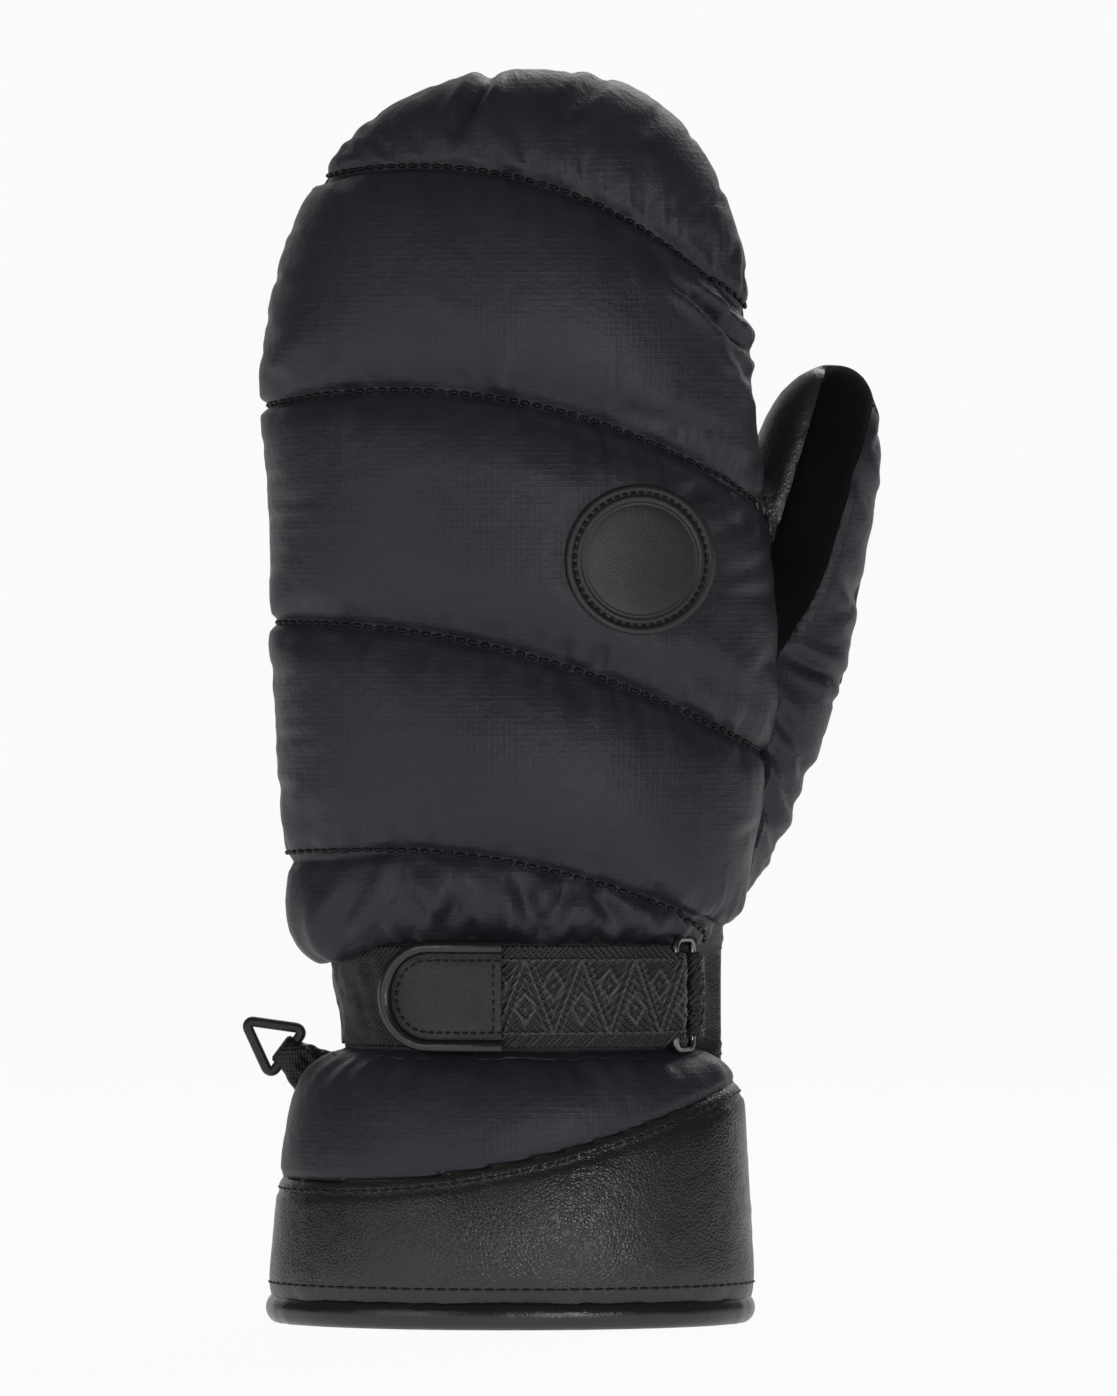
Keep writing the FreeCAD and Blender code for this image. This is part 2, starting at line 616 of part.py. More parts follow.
fold = rod("clip_fold", "clip_sleeve", "clip_fold_width", x="0 - clip_fold_width / 2")
fold.Placement.Rotation = FreeCAD.Rotation(FreeCAD.Vector(0, 1, 0), 90)
tail = feature("Part::Box", "clip_tail", x="0 - clip_webbing_width / 2", y="0 - clip_webbing",
               z="0 - clip_webbing_length", Length="clip_webbing_width", Width="2 * clip_webbing",
               Height="clip_webbing_length - clip_bar / 2 - 0.4")
bore = rod("clip_bore", "clip_bar / 2 + hinge_play", "2 * clip_length", x="0 - clip_length")
bore.Placement.Rotation = FreeCAD.Rotation(FreeCAD.Vector(0, 1, 0), 90)
tether = clip_place(cut("tether", fuse("tether_solid", fold, tail), bore))
node(cut("clip_loop", tether, bodies["shell"]), "clip_loop")

# --- check and write --------------------------------------------------------------------------------

doc.recompute()
for item in doc.Objects:
    if "Invalid" in item.State or "Error" in item.State:
        raise RuntimeError(f"{item.Name} did not build: {item.State}")
os.makedirs("parts", exist_ok=True)
for item in parts:
    shape = item.Shape
    if shape.isNull() or not shape.isValid() or not shape.Solids:
        raise RuntimeError(f"{item.Label} has no good shape")
    shape.exportStep(f"parts/{item.Label}.step")
    print(f"{item.Label}: {len(shape.Solids)} solid(s), {shape.Volume:.0f} mm3")
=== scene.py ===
# %% [markdown]
# # A padded ski mitten
#
# The mitten stands on its cuff with the back of the hand towards the camera: +Z is up to the finger
# ends, +X is the thumb's side and -Y comes out of the back of the hand. The rigid model made from the
# drawing is the frame. Everything soft is modelled here round it: the quilted nylon, the leather, the
# suede, the webbing and the lining.

import bisect
import math

import bmesh
import bpy
from mathutils import Matrix, Vector, noise
from mathutils.bvhtree import BVHTree


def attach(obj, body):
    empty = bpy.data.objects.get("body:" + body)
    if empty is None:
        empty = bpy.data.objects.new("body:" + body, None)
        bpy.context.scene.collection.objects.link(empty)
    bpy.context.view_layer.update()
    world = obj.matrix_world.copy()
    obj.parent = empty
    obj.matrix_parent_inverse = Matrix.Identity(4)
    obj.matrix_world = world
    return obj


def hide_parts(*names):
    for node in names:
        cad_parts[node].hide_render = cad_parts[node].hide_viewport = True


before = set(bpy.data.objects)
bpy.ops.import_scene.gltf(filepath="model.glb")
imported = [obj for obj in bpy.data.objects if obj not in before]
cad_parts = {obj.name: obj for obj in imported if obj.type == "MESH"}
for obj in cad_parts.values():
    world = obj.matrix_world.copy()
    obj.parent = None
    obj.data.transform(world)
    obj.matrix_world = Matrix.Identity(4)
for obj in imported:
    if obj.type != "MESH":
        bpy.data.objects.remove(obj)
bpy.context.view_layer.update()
MM = 0.001

# %% [markdown]
# ## Small tools
#
# A mesh is built in a bmesh, in millimetres, because a mitten's sizes are easy to read that way. One
# helper turns it into an object in metres at the origin, another says which body carries it and which
# nodes it stands for.

# %% Tools for meshes


def build(name, bm, *materials, smooth=True):
    """A bmesh in millimetres becomes an object in metres, and the bmesh is freed."""
    bmesh.ops.scale(bm, vec=(MM, MM, MM), verts=bm.verts)
    mesh = bpy.data.meshes.new(name)
    bm.to_mesh(mesh)
    bm.free()
    for material in materials:
        mesh.materials.append(material)
    mesh.polygons.foreach_set("use_smooth", [smooth] * len(mesh.polygons))
    item = bpy.data.objects.new(name, mesh)
    bpy.context.scene.collection.objects.link(item)
    return item


def place(item, body, slot, *nodes):
    """Says which body carries a piece and which nodes it stands for; its slot is not used."""
    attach(item, body)
    if nodes:
        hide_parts(*nodes)
    print(f"{item.name}: {len(item.data.vertices)} vertices on {body}")


def apply_modifiers(item):
    """Bakes the modifiers of an object into its mesh."""
    depsgraph = bpy.context.evaluated_depsgraph_get()
    mesh = bpy.data.meshes.new_from_object(item.evaluated_get(depsgraph))
    item.modifiers.clear()
    item.data = mesh


def even_out(item, voxel, rounds):
    """Merges all that an object holds into one skin of even faces, and softens it."""
    remesh = item.modifiers.new("even", "REMESH")
    remesh.mode = "VOXEL"
    remesh.voxel_size = voxel * MM
    soften = item.modifiers.new("soften", "SMOOTH")
    soften.iterations = rounds
    apply_modifiers(item)


def thicken(item, thickness):
    """Gives a surface a wall inwards, in millimetres."""
    wall = item.modifiers.new("wall", "SOLIDIFY")
    wall.thickness = thickness * MM
    wall.offset = -1


def ease(value, low, high):
    """0 below low, 1 above high, and a smooth step between."""
    t = min(max((value - low) / (high - low), 0.0), 1.0)
    return t * t * (3 - 2 * t)


# %% [markdown]
# ## The stuffed shape
#
# All the panels of a mitten are sewn into one bag round the wadding, and the wadding pushes them out
# until the seams hold them. So the bag is made whole: a loft of rings for the hand and cuff, another
# for the thumb, merged by a voxel remesh into one even skin that cloth can work on.

# %% Rings of the hand and the cuff
LEVELS = (
    # height, half width, half depth, lean towards the thumb
    (4, 58.0, 39.7, 0), (12, 58.2, 39.6, 0.4), (27, 57.3, 38.6, 0.8), (43, 55.8, 37.2, 1.3),
    (53, 54.6, 35.6, 1.8), (59, 52.6, 33.4, 2), (62.5, 49.6, 30.6, 2), (64.7, 44.5, 27.2, 2),
    (66, 39.4, 24.4, 2), (90.5, 39.4, 24.4, 2), (92.3, 44.5, 26.0, 2), (94.5, 48.6, 27.6, 2),
    (98, 51.6, 28.8, 2), (103, 53.6, 29.6, 2), (111, 55.2, 30.6, 2), (122, 57.3, 31.4, 2),
    (138, 59.0, 32.0, 2), (160, 59.7, 32.2, 2), (187, 59.8, 32.2, 1.2), (217.5, 59.6, 32.0, -0.5),
)
DOME_FOOT, DOME_HEIGHT, DOME_POWER = 217.5, 83.2, 2.42
THUMB_AXIS = ((96, 30, 7, 22, 13), (112, 40, 15, 24, 16), (127, 48, 17.4, 22.6, 16.6),
              (142, 55.4, 18.8, 21, 16.6), (157, 61.6, 19.6, 19.4, 16.6), (172, 66, 20, 18.2, 16.6),
              (186, 69.6, 20, 17, 16.4))
THUMB_END, THUMB_TOP, THUMB_LEAN = 186, 230.8, 8.5


def ring_loft(bm, rings):
    """Closed loft through level ellipses, each (height, x, y, half width, half depth)."""
    start = bmesh.ops.create_circle(bm, cap_ends=False, segments=96, radius=1)["verts"]
    edges = list({edge for vert in start for edge in vert.link_edges})
    for number, (z, x, y, a, b) in enumerate(rings):
        if number:
            made = bmesh.ops.extrude_edge_only(bm, edges=edges)["geom"]
            edges = [part for part in made if isinstance(part, bmesh.types.BMEdge)]
            verts = [part for part in made if isinstance(part, bmesh.types.BMVert)]
            undo = Matrix.LocRotScale(last[0], None, last[1]).inverted()
        else:
            verts, undo = start, Matrix.Identity(4)
        now = (Vector((x, y, z)), Vector((a, b, 1)))
        bmesh.ops.transform(bm, matrix=Matrix.LocRotScale(now[0], None, now[1]) @ undo, verts=verts)
        last = now
        if number in (0, len(rings) - 1):
            bmesh.ops.contextual_create(bm, geom=edges)


def dome(foot, height, power, steps=14):
    """Shares of height and width up a rounded end."""
    for step in range(1, steps + 1):
        turn = step / (steps + 0.3) * math.pi / 2
        share = math.sin(turn)
        yield foot + share * height, (1 - share**power) ** (1 / power), share


bag = bmesh.new()
hand_rings = [(z, lean, 0, a, b) for z, a, b, lean in LEVELS]
for z, size, share in dome(DOME_FOOT, DOME_HEIGHT, DOME_POWER):
    hand_rings.append((z, 6.5 * share**3 - 0.5, 0, 59.6 * size, 32 * size))
ring_loft(bag, hand_rings)
thumb_rings = [(z, x, y, a, b) for z, x, y, a, b in THUMB_AXIS]
for z, size, share in dome(THUMB_END, THUMB_TOP - THUMB_END, 2.6):
    thumb_rings.append((z, 69.6 + THUMB_LEAN * share, 20, 17 * size, 16.4 * size))
ring_loft(bag, thumb_rings)
bmesh.ops.recalc_face_normals(bag, faces=bag.faces)
stuffed = build("stuffed", bag)
even_out(stuffed, 2.0, 8)
print("bag:", len(stuffed.data.vertices), "points")

# %% [markdown]
# ## Seams
#
# Four curved rows of quilting cross the back. Each is a piece of a large circle seen from the front, so
# one signed distance says where a point is against it. The same kind of function describes the leather's
# upper edge on the cuff, the side seams, and the edges of the suede, and is used three times: to hold
# the cloth, to part the panels and to lay the stitches.

# %% Signed distances to the seams
QUILT = {
    # middle across, top, radius
    "tip": (-24.5, 277.5, 114.0),
    "finger": (-28.0, 223.5, 160.0),
    "knuckle": (-58.0, 168.3, 243.0),
    "wrist": (-34.0, 114.0, 190.0),
}
LEATHER_ARC = (-48.0, 273.0, 238.0)   # middle across, middle's height, radius
SIDE_SEAM = 4.0
THUMB_SIDE = 24.0   # how deep the thumb's nylon reaches before the palm's leather begins
SUEDE_DEEP = 20.0   # how deep the suede's seams reach round the thumb
CUFF_TOP, HAND_FOOT = 64.0, 92.0
SUEDE_LEAN = math.radians(16.6)
SUEDE_CORNER, SUEDE_WIDTH, SUEDE_FOOT = (75.5, 228.0), 14.6, 157.0
BADGE_X, BADGE_Z, BADGE_RADIUS = 31.2, 183.0, 18.0


def over_arc(point, seam):
    """How far a point is outside the circle that a quilting row follows."""
    x, z, radius = QUILT[seam]
    return math.hypot(point.x - x, point.z - (z - radius)) - radius


def over_leather(point):
    """How far a point is above the leather's sagging upper edge."""
    x, z, radius = LEATHER_ARC
    return radius - math.hypot(point.x - x, point.z - z)


def behind_side(point):
    """How far a point is on the palm's side of the side seams."""
    return point.y - SIDE_SEAM


def right_of_suede(point):
    """How far a point is to the right of the seam between the thumb's leather and its suede."""
    x, z = point.x - SUEDE_CORNER[0], point.z - SUEDE_CORNER[1]
    return x * math.cos(SUEDE_LEAN) - z * math.sin(SUEDE_LEAN)


def suede_edge(point):
    """Negative inside the suede strip, which narrows to a point at its foot."""
    across = right_of_suede(point) - SUEDE_WIDTH / 2
    width = SUEDE_WIDTH / 2 * ease(point.z, SUEDE_FOOT - 2, SUEDE_FOOT + 26) ** 0.7
    return abs(across) - width


hand_tree = thumb_tree = None   # the two lofts, to tell where a point lies


def on_thumb(point):
    """How much nearer a point is to the thumb's loft than to the hand's."""
    return hand_tree.find_nearest(point)[3] - thumb_tree.find_nearest(point)[3]


# %% [markdown]
# ## Filling the bag
#
# Nylon is cut larger than the space that its seams leave, which is where the puckers come from. The
# cloth is therefore told to grow by a few percent, the seams are pinned, and air pressure stands in for
# the wadding. Leather hardly grows. Twenty frames are enough for it to settle, and no point may move
# further than a limit.

# %% Blow up the bag
GROWTH = {"nylon": 0.055, "leather": 0.012}
PUFF = 2500
LIMIT = 7.0


def loft_tree(rings):
    """A search tree over one loft."""
    bm = bmesh.new()
    ring_loft(bm, rings)
    tree = BVHTree.FromBMesh(bm)
    bm.free()
    return tree


hand_tree, thumb_tree = loft_tree(hand_rings), loft_tree(thumb_rings)


def held(point):
    """1 where stitching or the strap holds the cloth, 0 where it is free."""
    if point.z < 7 or CUFF_TOP + 1 < point.z < HAND_FOOT - 0.5:
        return 1.0
    thumb = on_thumb(point)
    if thumb > 0:
        return 1.0 if abs(suede_edge(point)) < 0.9 and point.y < SUEDE_DEEP or thumb < 0.9 else 0.0
    if abs(behind_side(point)) < 1.0:
        return 1.0
    if point.y > SIDE_SEAM:
        return 0.0
    if point.z < CUFF_TOP:
        return 1.0 if abs(over_leather(point)) < 1.0 else 0.0
    return 1.0 if min(abs(over_arc(point, seam)) for seam in QUILT) < 1.0 else 0.0


def is_nylon(point):
    """Whether the panel at a point is the soft quilted nylon of the hand or the thumb."""
    if on_thumb(point) > 0:
        return right_of_suede(point) > 0 and point.y < THUMB_SIDE and suede_edge(point) > 0
    return point.y < SIDE_SEAM and point.z > CUFF_TOP


mesh = stuffed.data
rest = [vert.co / MM for vert in mesh.vertices]
pin = stuffed.vertex_groups.new(name="held")
firm = stuffed.vertex_groups.new(name="firm")
for number, point in enumerate(rest):
    if held(point):
        pin.add([number], 1.0, "REPLACE")
    if not is_nylon(point):
        firm.add([number], 1.0, "REPLACE")
keep = mesh.attributes.new("rest", "FLOAT_VECTOR", "POINT")
keep.data.foreach_set("vector", [value for point in rest for value in point])

cloth = stuffed.modifiers.new("cloth", "CLOTH")
settings = cloth.settings
settings.quality = 4
settings.mass = 0.15
settings.tension_stiffness = settings.compression_stiffness = 12
settings.shear_stiffness = 4
settings.bending_stiffness = 0.5
settings.tension_damping = settings.compression_damping = 6
settings.air_damping = 2
settings.effector_weights.gravity = 0
settings.vertex_group_mass = "held"
settings.shrink_min = -GROWTH["nylon"]
settings.shrink_max = -GROWTH["leather"]
settings.vertex_group_shrink = "firm"
settings.use_pressure = True
settings.uniform_pressure_force = PUFF
cloth.collision_settings.use_collision = False
cloth.point_cache.frame_start, cloth.point_cache.frame_end = 1, 20
for step in range(1, 21):
    bpy.context.scene.frame_set(step)
apply_modifiers(stuffed)
far = 0.0
for vert, point in zip(stuffed.data.vertices, rest):
    move = vert.co - point * MM
    far = max(far, move.length)
    if move.length > LIMIT * MM:
        vert.co = point * MM + move.normalized() * LIMIT * MM
bpy.context.scene.frame_set(1)
print("filled: the cloth moved by up to", round(far / MM, 1), "mm")

# %% [markdown]
# ## Materials
#
# Everything here is nearly black, so the finishes are told apart by how they shine: nylon has a soft
# satin, goat leather a broad highlight over a pebble grain, suede almost none, webbing a glint on each
# raised thread. Webbing and elastic also have their glints painted into their colour, lighter where a
# thread, rib or fold stands out, a painted highlight, and the leather's pebble valleys are painted a
# little darker, a painted shade. Colours are written as sRGB hex values and turned linear by one
# function. Patterns are worked out in millimetres, either of the object's own coordinates or of an
# attribute that runs round the panel like the cloth does.

# %% Tools for materials


def linear(code):
    """The linear colour of an sRGB hex value."""
    parts = [int(code[k:k + 2], 16) / 255 for k in (1, 3, 5)]
    return (*[v / 12.92 if v <= 0.04045 else ((v + 0.055) / 1.055) ** 2.4 for v in parts], 1.0)


def add(tree, kind, inputs=None, **settings):
    """Adds a node, with its settings, values and links."""
    made = tree.nodes.new("ShaderNode" + kind)
    for key, value in settings.items():
        setattr(made, key, value)
    for key, value in (inputs or {}).items():
        if isinstance(value, bpy.types.NodeSocket):
            tree.links.new(value, made.inputs[key])
        else:
            made.inputs[key].default_value = value
    return made


def finish(name, roughness, **constants):
    """A material with a shader whose plain values are set on its own sockets."""
    material = bpy.data.materials.new(name)
    material.use_nodes = True
    tree = material.node_tree
    shader = tree.nodes["Principled BSDF"]
    shader.inputs["Roughness"].default_value = roughness
    for key, value in constants.items():
        shader.inputs[key.replace("_", " ")].default_value = value
    return material, tree, shader


def object_mm(tree):
    """Object coordinates in millimetres."""
    where = add(tree, "TexCoord").outputs["Object"]
    return add(tree, "VectorMath", {0: where, "Scale": 1000.0}, operation="SCALE").outputs[0]


def tint(tree, shader, amount, dark, light):
    """Colours the shader between two tones by an amount from 0 to 1."""
    ramp = add(tree, "ValToRGB", {"Fac": amount})
    ramp.color_ramp.elements[0].color = linear(dark)
    ramp.color_ramp.elements[1].color = linear(light)
    tree.links.new(ramp.outputs["Color"], shader.inputs["Base Color"])


def relief(tree, shader, height, depth, after=None):
    """Bump whose full height is a depth in millimetres."""
    links = {"Height": height, "Distance": depth * MM}
    if after:
        links["Normal"] = after
    bump = add(tree, "Bump", links)
    tree.links.new(bump.outputs["Normal"], shader.inputs["Normal"])
    return bump.outputs["Normal"]


WAVE = 2 * math.pi / 20   # a wave texture of this scale repeats every unit


# %% Nylon ripstop
# Woven polyamide, calendered so that it has a satin face. A stronger thread every 1.3 mm makes the small
# squares, and the wadding and folding leave faint clouds in its shine.
def woven_nylon(name, dark, light):
    """Ripstop over the attribute 'weave', which is in millimetres along and across the panel."""
    material, tree, shader = finish(name, 0.5, Sheen_Weight=0.12, Sheen_Roughness=0.45,
                                    Specular_IOR_Level=0.42)
    shader.inputs["Sheen Tint"].default_value = linear("#8d8c98")
    weave = add(tree, "Attribute", attribute_name="weave").outputs["Vector"]
    threads = []
    for direction in ("X", "Y"):
        wave = add(tree, "TexWave", {"Vector": weave, "Scale": WAVE / 1.3, "Distortion": 0.0},
                   bands_direction=direction)
        threads.append(add(tree, "Math", {0: wave.outputs["Fac"], 1: 7.0}, operation="POWER").outputs[0])
    grid = add(tree, "Math", {0: threads[0], 1: threads[1]}, operation="MAXIMUM").outputs[0]
    cloud = add(tree, "TexNoise", {"Vector": weave, "Scale": 0.06, "Detail": 4.0}).outputs["Fac"]
    mixed = add(tree, "Math", {0: grid, 1: 0.18, 2: cloud}, operation="MULTIPLY_ADD").outputs[0]
    tint(tree, shader, mixed, dark, light)
    rough = add(tree, "MapRange", {"Value": cloud, "To Min": 0.42, "To Max": 0.58}).outputs[0]
    tree.links.new(rough, shader.inputs["Roughness"])
    crumple = add(tree, "TexNoise", {"Vector": weave, "Scale": 0.16, "Detail": 5.0,
                                     "Roughness": 0.62}).outputs["Fac"]
    first = relief(tree, shader, crumple, 0.5)
    relief(tree, shader, grid, 0.03, first)
    return material


nylon = woven_nylon("woven_nylon_ripstop", "#201e26", "#34323d")

# %% Leathers
# Goat leather, dyed through and polished, with a broad highlight. Its pebbles are about 1.1 mm across,
# with fine valleys between them, and smaller on the smooth leather of the cuff and the trims.


def leather(name, dark, light, roughness, pebble, depth, creases):
    """Pebble grain of a given size in millimetres, with creases over it."""
    material, tree, shader = finish(name, roughness, Specular_IOR_Level=0.6)
    where = object_mm(tree)
    bend = add(tree, "TexNoise", {"Vector": where, "Scale": 0.4, "Detail": 2.0}).outputs["Color"]
    bent = add(tree, "VectorMath", {0: bend, 1: (0.9, 0.9, 0.9), 2: where},
               operation="MULTIPLY_ADD").outputs[0]
    cell = add(tree, "TexVoronoi", {"Vector": bent, "Scale": 1 / pebble},
               feature="DISTANCE_TO_EDGE").outputs["Distance"]
    valley = add(tree, "MapRange", {"Value": cell, "From Max": 0.3}).outputs[0]
    broad = add(tree, "TexNoise", {"Vector": where, "Scale": 0.05, "Detail": 3.0}).outputs["Fac"]
    # The valleys between the pebbles are painted a little darker than their tops: painted shade in the
    # recesses that the bump also draws. The large noise added to it is the leather's own uneven tone.
    shade = add(tree, "Math", {0: valley, 1: 0.2, 2: broad}, operation="MULTIPLY_ADD").outputs[0]
    tint(tree, shader, shade, dark, light)
    rough = add(tree, "MapRange", {"Value": broad, "From Min": 0.3, "From Max": 0.7,
                                   "To Min": roughness - 0.07, "To Max": roughness + 0.08}).outputs[0]
    tree.links.new(rough, shader.inputs["Roughness"])
    crease = add(tree, "TexNoise", {"Vector": where, "Scale": 0.13, "Detail": 2.0}).outputs["Fac"]
    first = relief(tree, shader, crease, creases)
    relief(tree, shader, valley, depth, first)
    return material


palm_leather = leather("goat_leather", "#171614", "#2b2926", 0.42, 1.1, 0.05, 0.7)
cuff_leather = leather("goat_leather_smooth", "#161513", "#262421", 0.35, 0.95, 0.06, 0.4)
trim_leather = leather("rolled_leather_trim", "#11100f", "#22201e", 0.26, 0.8, 0.025, 0.25)
tab_skin = leather("tab_leather", "#0c0b0a", "#171614", 0.5, 0.8, 0.05, 0.2)
badge_skin = leather("pressed_leather", "#191817", "#2b2a28", 0.5, 0.7, 0.03, 0.1)

# %% Suede and fleece
# Suede is leather with its flesh side out: a dense nap that swallows light. The lining is brushed
# polyester fleece, with a softer and longer pile.


def napped(name, dark, light, pile, depth, sheen):
    """A matt surface of short fibres whose tufts are a given size in millimetres."""
    material, tree, shader = finish(name, 0.95, Sheen_Weight=sheen, Sheen_Roughness=0.6,
                                    Specular_IOR_Level=0.12)
    shader.inputs["Sheen Tint"].default_value = linear("#55545a")
    where = object_mm(tree)
    fibre = add(tree, "TexNoise", {"Vector": where, "Scale": 1 / pile, "Detail": 6.0,
                                   "Roughness": 0.7}).outputs["Fac"]
    patch = add(tree, "TexNoise", {"Vector": where, "Scale": 0.09, "Detail": 2.0}).outputs["Fac"]
    tint(tree, shader, add(tree, "Math", {0: fibre, 1: 0.5, 2: patch},
                           operation="MULTIPLY_ADD").outputs[0], dark, light)
    relief(tree, shader, fibre, depth)
    return material


suede = napped("suede_nap", "#060606", "#141312", 0.5, 0.12, 0.08)
fleece = napped("brushed_fleece", "#1c1c1e", "#3a3a3d", 1.6, 0.7, 0.5)
pile_tape = napped("loop_pile_tape", "#141416", "#2a2a2c", 0.7, 0.45, 0.3)

# %% Webbing and elastic
# Narrow goods of black polyester. Their ribs are under half a millimetre apart, drawn here at 0.6 to
# 0.8 mm, the finest that shows.


def narrow_cloth(name, dark, light, rib, depth, roughness, slant=0.0):
    """Ribs of a given spacing in millimetres over the attribute 'weave'."""
    material, tree, shader = finish(name, roughness, Sheen_Weight=0.15, Sheen_Roughness=0.4,
                                    Specular_IOR_Level=0.45)
    weave = add(tree, "Attribute", attribute_name="weave").outputs["Vector"]
    turned = add(tree, "Mapping", {"Vector": weave, "Rotation": (0.0, 0.0, slant)}).outputs[0]
    ribs = add(tree, "TexWave", {"Vector": turned, "Scale": WAVE / rib, "Distortion": 0.6,
                                 "Detail Scale": 3.0}, bands_direction="Y").outputs["Fac"]
    picks = add(tree, "TexWave", {"Vector": turned, "Scale": WAVE / (rib * 1.4), "Distortion": 0.8,
                                  "Detail Scale": 3.0}, bands_direction="X").outputs["Fac"]
    knots = add(tree, "Math", {0: ribs, 1: picks}, operation="MULTIPLY").outputs[0]
    # Painted light: the colour follows height, lighter on the raised knots of the weave and where the
    # strip's relief stands out, as a painted highlight, and darker between them, as painted shade.
    raised = add(tree, "SeparateXYZ", {"Vector": weave}).outputs["Z"]
    painted_rise_light = add(tree, "Math", {0: raised, 1: 3.2, 2: -0.45}, operation="MULTIPLY_ADD").outputs[0]
    shade = add(tree, "Math", {0: knots, 1: 0.45, 2: painted_rise_light}, operation="MULTIPLY_ADD").outputs[0]
    tint(tree, shader, shade, dark, light)
    relief(tree, shader, knots, depth)
    return material


webbing = narrow_cloth("woven_polyester_webbing", "#0b0b0c", "#2a292a", 0.7, 0.16, 0.5, 0.7)
jacquard = narrow_cloth("jacquard_webbing", "#040404", "#565455", 0.62, 0.16, 0.4, 0.78)
elastic_tape = narrow_cloth("ribbed_elastic", "#131314", "#2c2c2e", 0.8, 0.1, 0.6)

# %% Thread, cord, plastic and steel
# Bonded polyester thread has a slight gloss. The clip is injection-moulded acetal. The ring is steel wire
# with a black nickel plate, which has worn a little brighter at its corners.
thread, tree, shader = finish("bonded_polyester_thread", 0.55, Specular_IOR_Level=0.35)
ply = add(tree, "TexWave", {"Vector": object_mm(tree), "Scale": WAVE / 0.4, "Distortion": 1.0},
          bands_direction="DIAGONAL").outputs["Fac"]
tint(tree, shader, ply, "#030303", "#101011")
relief(tree, shader, ply, 0.05)

cord, tree, shader = finish("spun_polyester_cord", 0.8, Sheen_Weight=0.2)
ply = add(tree, "TexWave", {"Vector": object_mm(tree), "Scale": WAVE / 1.2, "Distortion": 1.0},
          bands_direction="DIAGONAL").outputs["Fac"]
tint(tree, shader, ply, "#8b8a86", "#c8c7c2")
relief(tree, shader, ply, 0.2)

acetal, tree, shader = finish("moulded_acetal", 0.5, Specular_IOR_Level=0.5)
skin = add(tree, "TexNoise", {"Vector": object_mm(tree), "Scale": 2.5, "Detail": 4.0}).outputs["Fac"]
tint(tree, shader, skin, "#19191a", "#2e2e2f")
relief(tree, shader, skin, 0.04)

steel, tree, shader = finish("black_nickel_steel", 0.3, Metallic=1.0)
worn = add(tree, "TexNoise", {"Vector": object_mm(tree), "Scale": 0.35, "Detail": 4.0}).outputs["Fac"]
tint(tree, shader, worn, "#4b4a49", "#8f8d8a")
rough = add(tree, "MapRange", {"Value": worn, "To Min": 0.22, "To Max": 0.42}).outputs[0]
tree.links.new(rough, shader.inputs["Roughness"])

membrane, tree, shader = finish("laminated_film", 0.35, Specular_IOR_Level=0.5)
wrinkle = add(tree, "TexNoise", {"Vector": object_mm(tree), "Scale": 0.2, "Detail": 5.0}).outputs["Fac"]
tint(tree, shader, wrinkle, "#9aa0a6", "#ccd2d6")
relief(tree, shader, wrinkle, 0.5)
print("materials:", len(bpy.data.materials))

# %% [markdown]
# ## Panels
#
# The filled bag is cut along its seams into the panels that were sewn together. Each seam is a signed
# distance, so the bag is drawn for a moment with that distance as its height, cut with a level plane at
# nought, and put back. The points beside a seam are evened out first, so that the cut runs clean.

# %% Even out the cloth beside the seams
bag = bmesh.new()
bag.from_mesh(stuffed.data)
bmesh.ops.scale(bag, vec=(1 / MM, 1 / MM, 1 / MM), verts=bag.verts)
drawn = bag.verts.layers.float_vector["rest"]
beside = []
for vert in bag.verts:
    at = vert[drawn]
    rows = [over_arc(at, seam) for seam in QUILT] if at.z > HAND_FOOT else [over_leather(at)]
    if 8 < at.z and min(abs(row) for row in (*rows, behind_side(at))) < 5:
        beside.append(vert)
for _ in range(6):
    bmesh.ops.smooth_vert(bag, verts=beside, factor=0.5, use_axis_x=True, use_axis_y=True,
                          use_axis_z=True)
print("evened:", len(beside), "points beside the seams")

# %% Cut the bag along its seams
filled = bag.verts.layers.float_vector.new("filled")
for vert in bag.verts:
    vert[filled] = vert.co
mouth = [face for face in bag.faces if face.normal.z < -0.7 and face.calc_center_median().z < 8]
bmesh.ops.delete(bag, geom=mouth, context="FACES")


def middle(face, layer):
    """The middle of a face in one of the bag's stored shapes."""
    return sum((vert[layer] for vert in face.verts), Vector()) / len(face.verts)


def cut_bag(distance, picked):
    """Adds a line of edges where a distance is nought, over the faces that a test picks."""
    faces = [face for face in bag.faces if picked(middle(face, drawn))]
    verts = {vert for face in faces for vert in face.verts}
    edges = {edge for face in faces for edge in face.edges}
    for vert in verts:
        at = vert[drawn]
        vert.co = (at.x, at.y, distance(at))
    bmesh.ops.bisect_plane(bag, geom=[*verts, *edges, *faces], dist=0.12, plane_co=(0, 0, 0),
                           plane_no=(0, 0, 1))


def zone(point):
    """Which panel a point of the drawn shape lies on."""
    if on_thumb(point) > 0:
        if point.y < SUEDE_DEEP and suede_edge(point) < 0:
            return "thumb_suede"
        return "thumb_nylon" if is_nylon(point) else "thumb_leather"
    if point.y > SIDE_SEAM:
        return "palm_leather" if point.z > CUFF_TOP else "cuff_palm"
    if point.z > CUFF_TOP:
        return "back_quilt"
    return "cuff_nylon" if over_leather(point) > 0 else "cuff_leather"


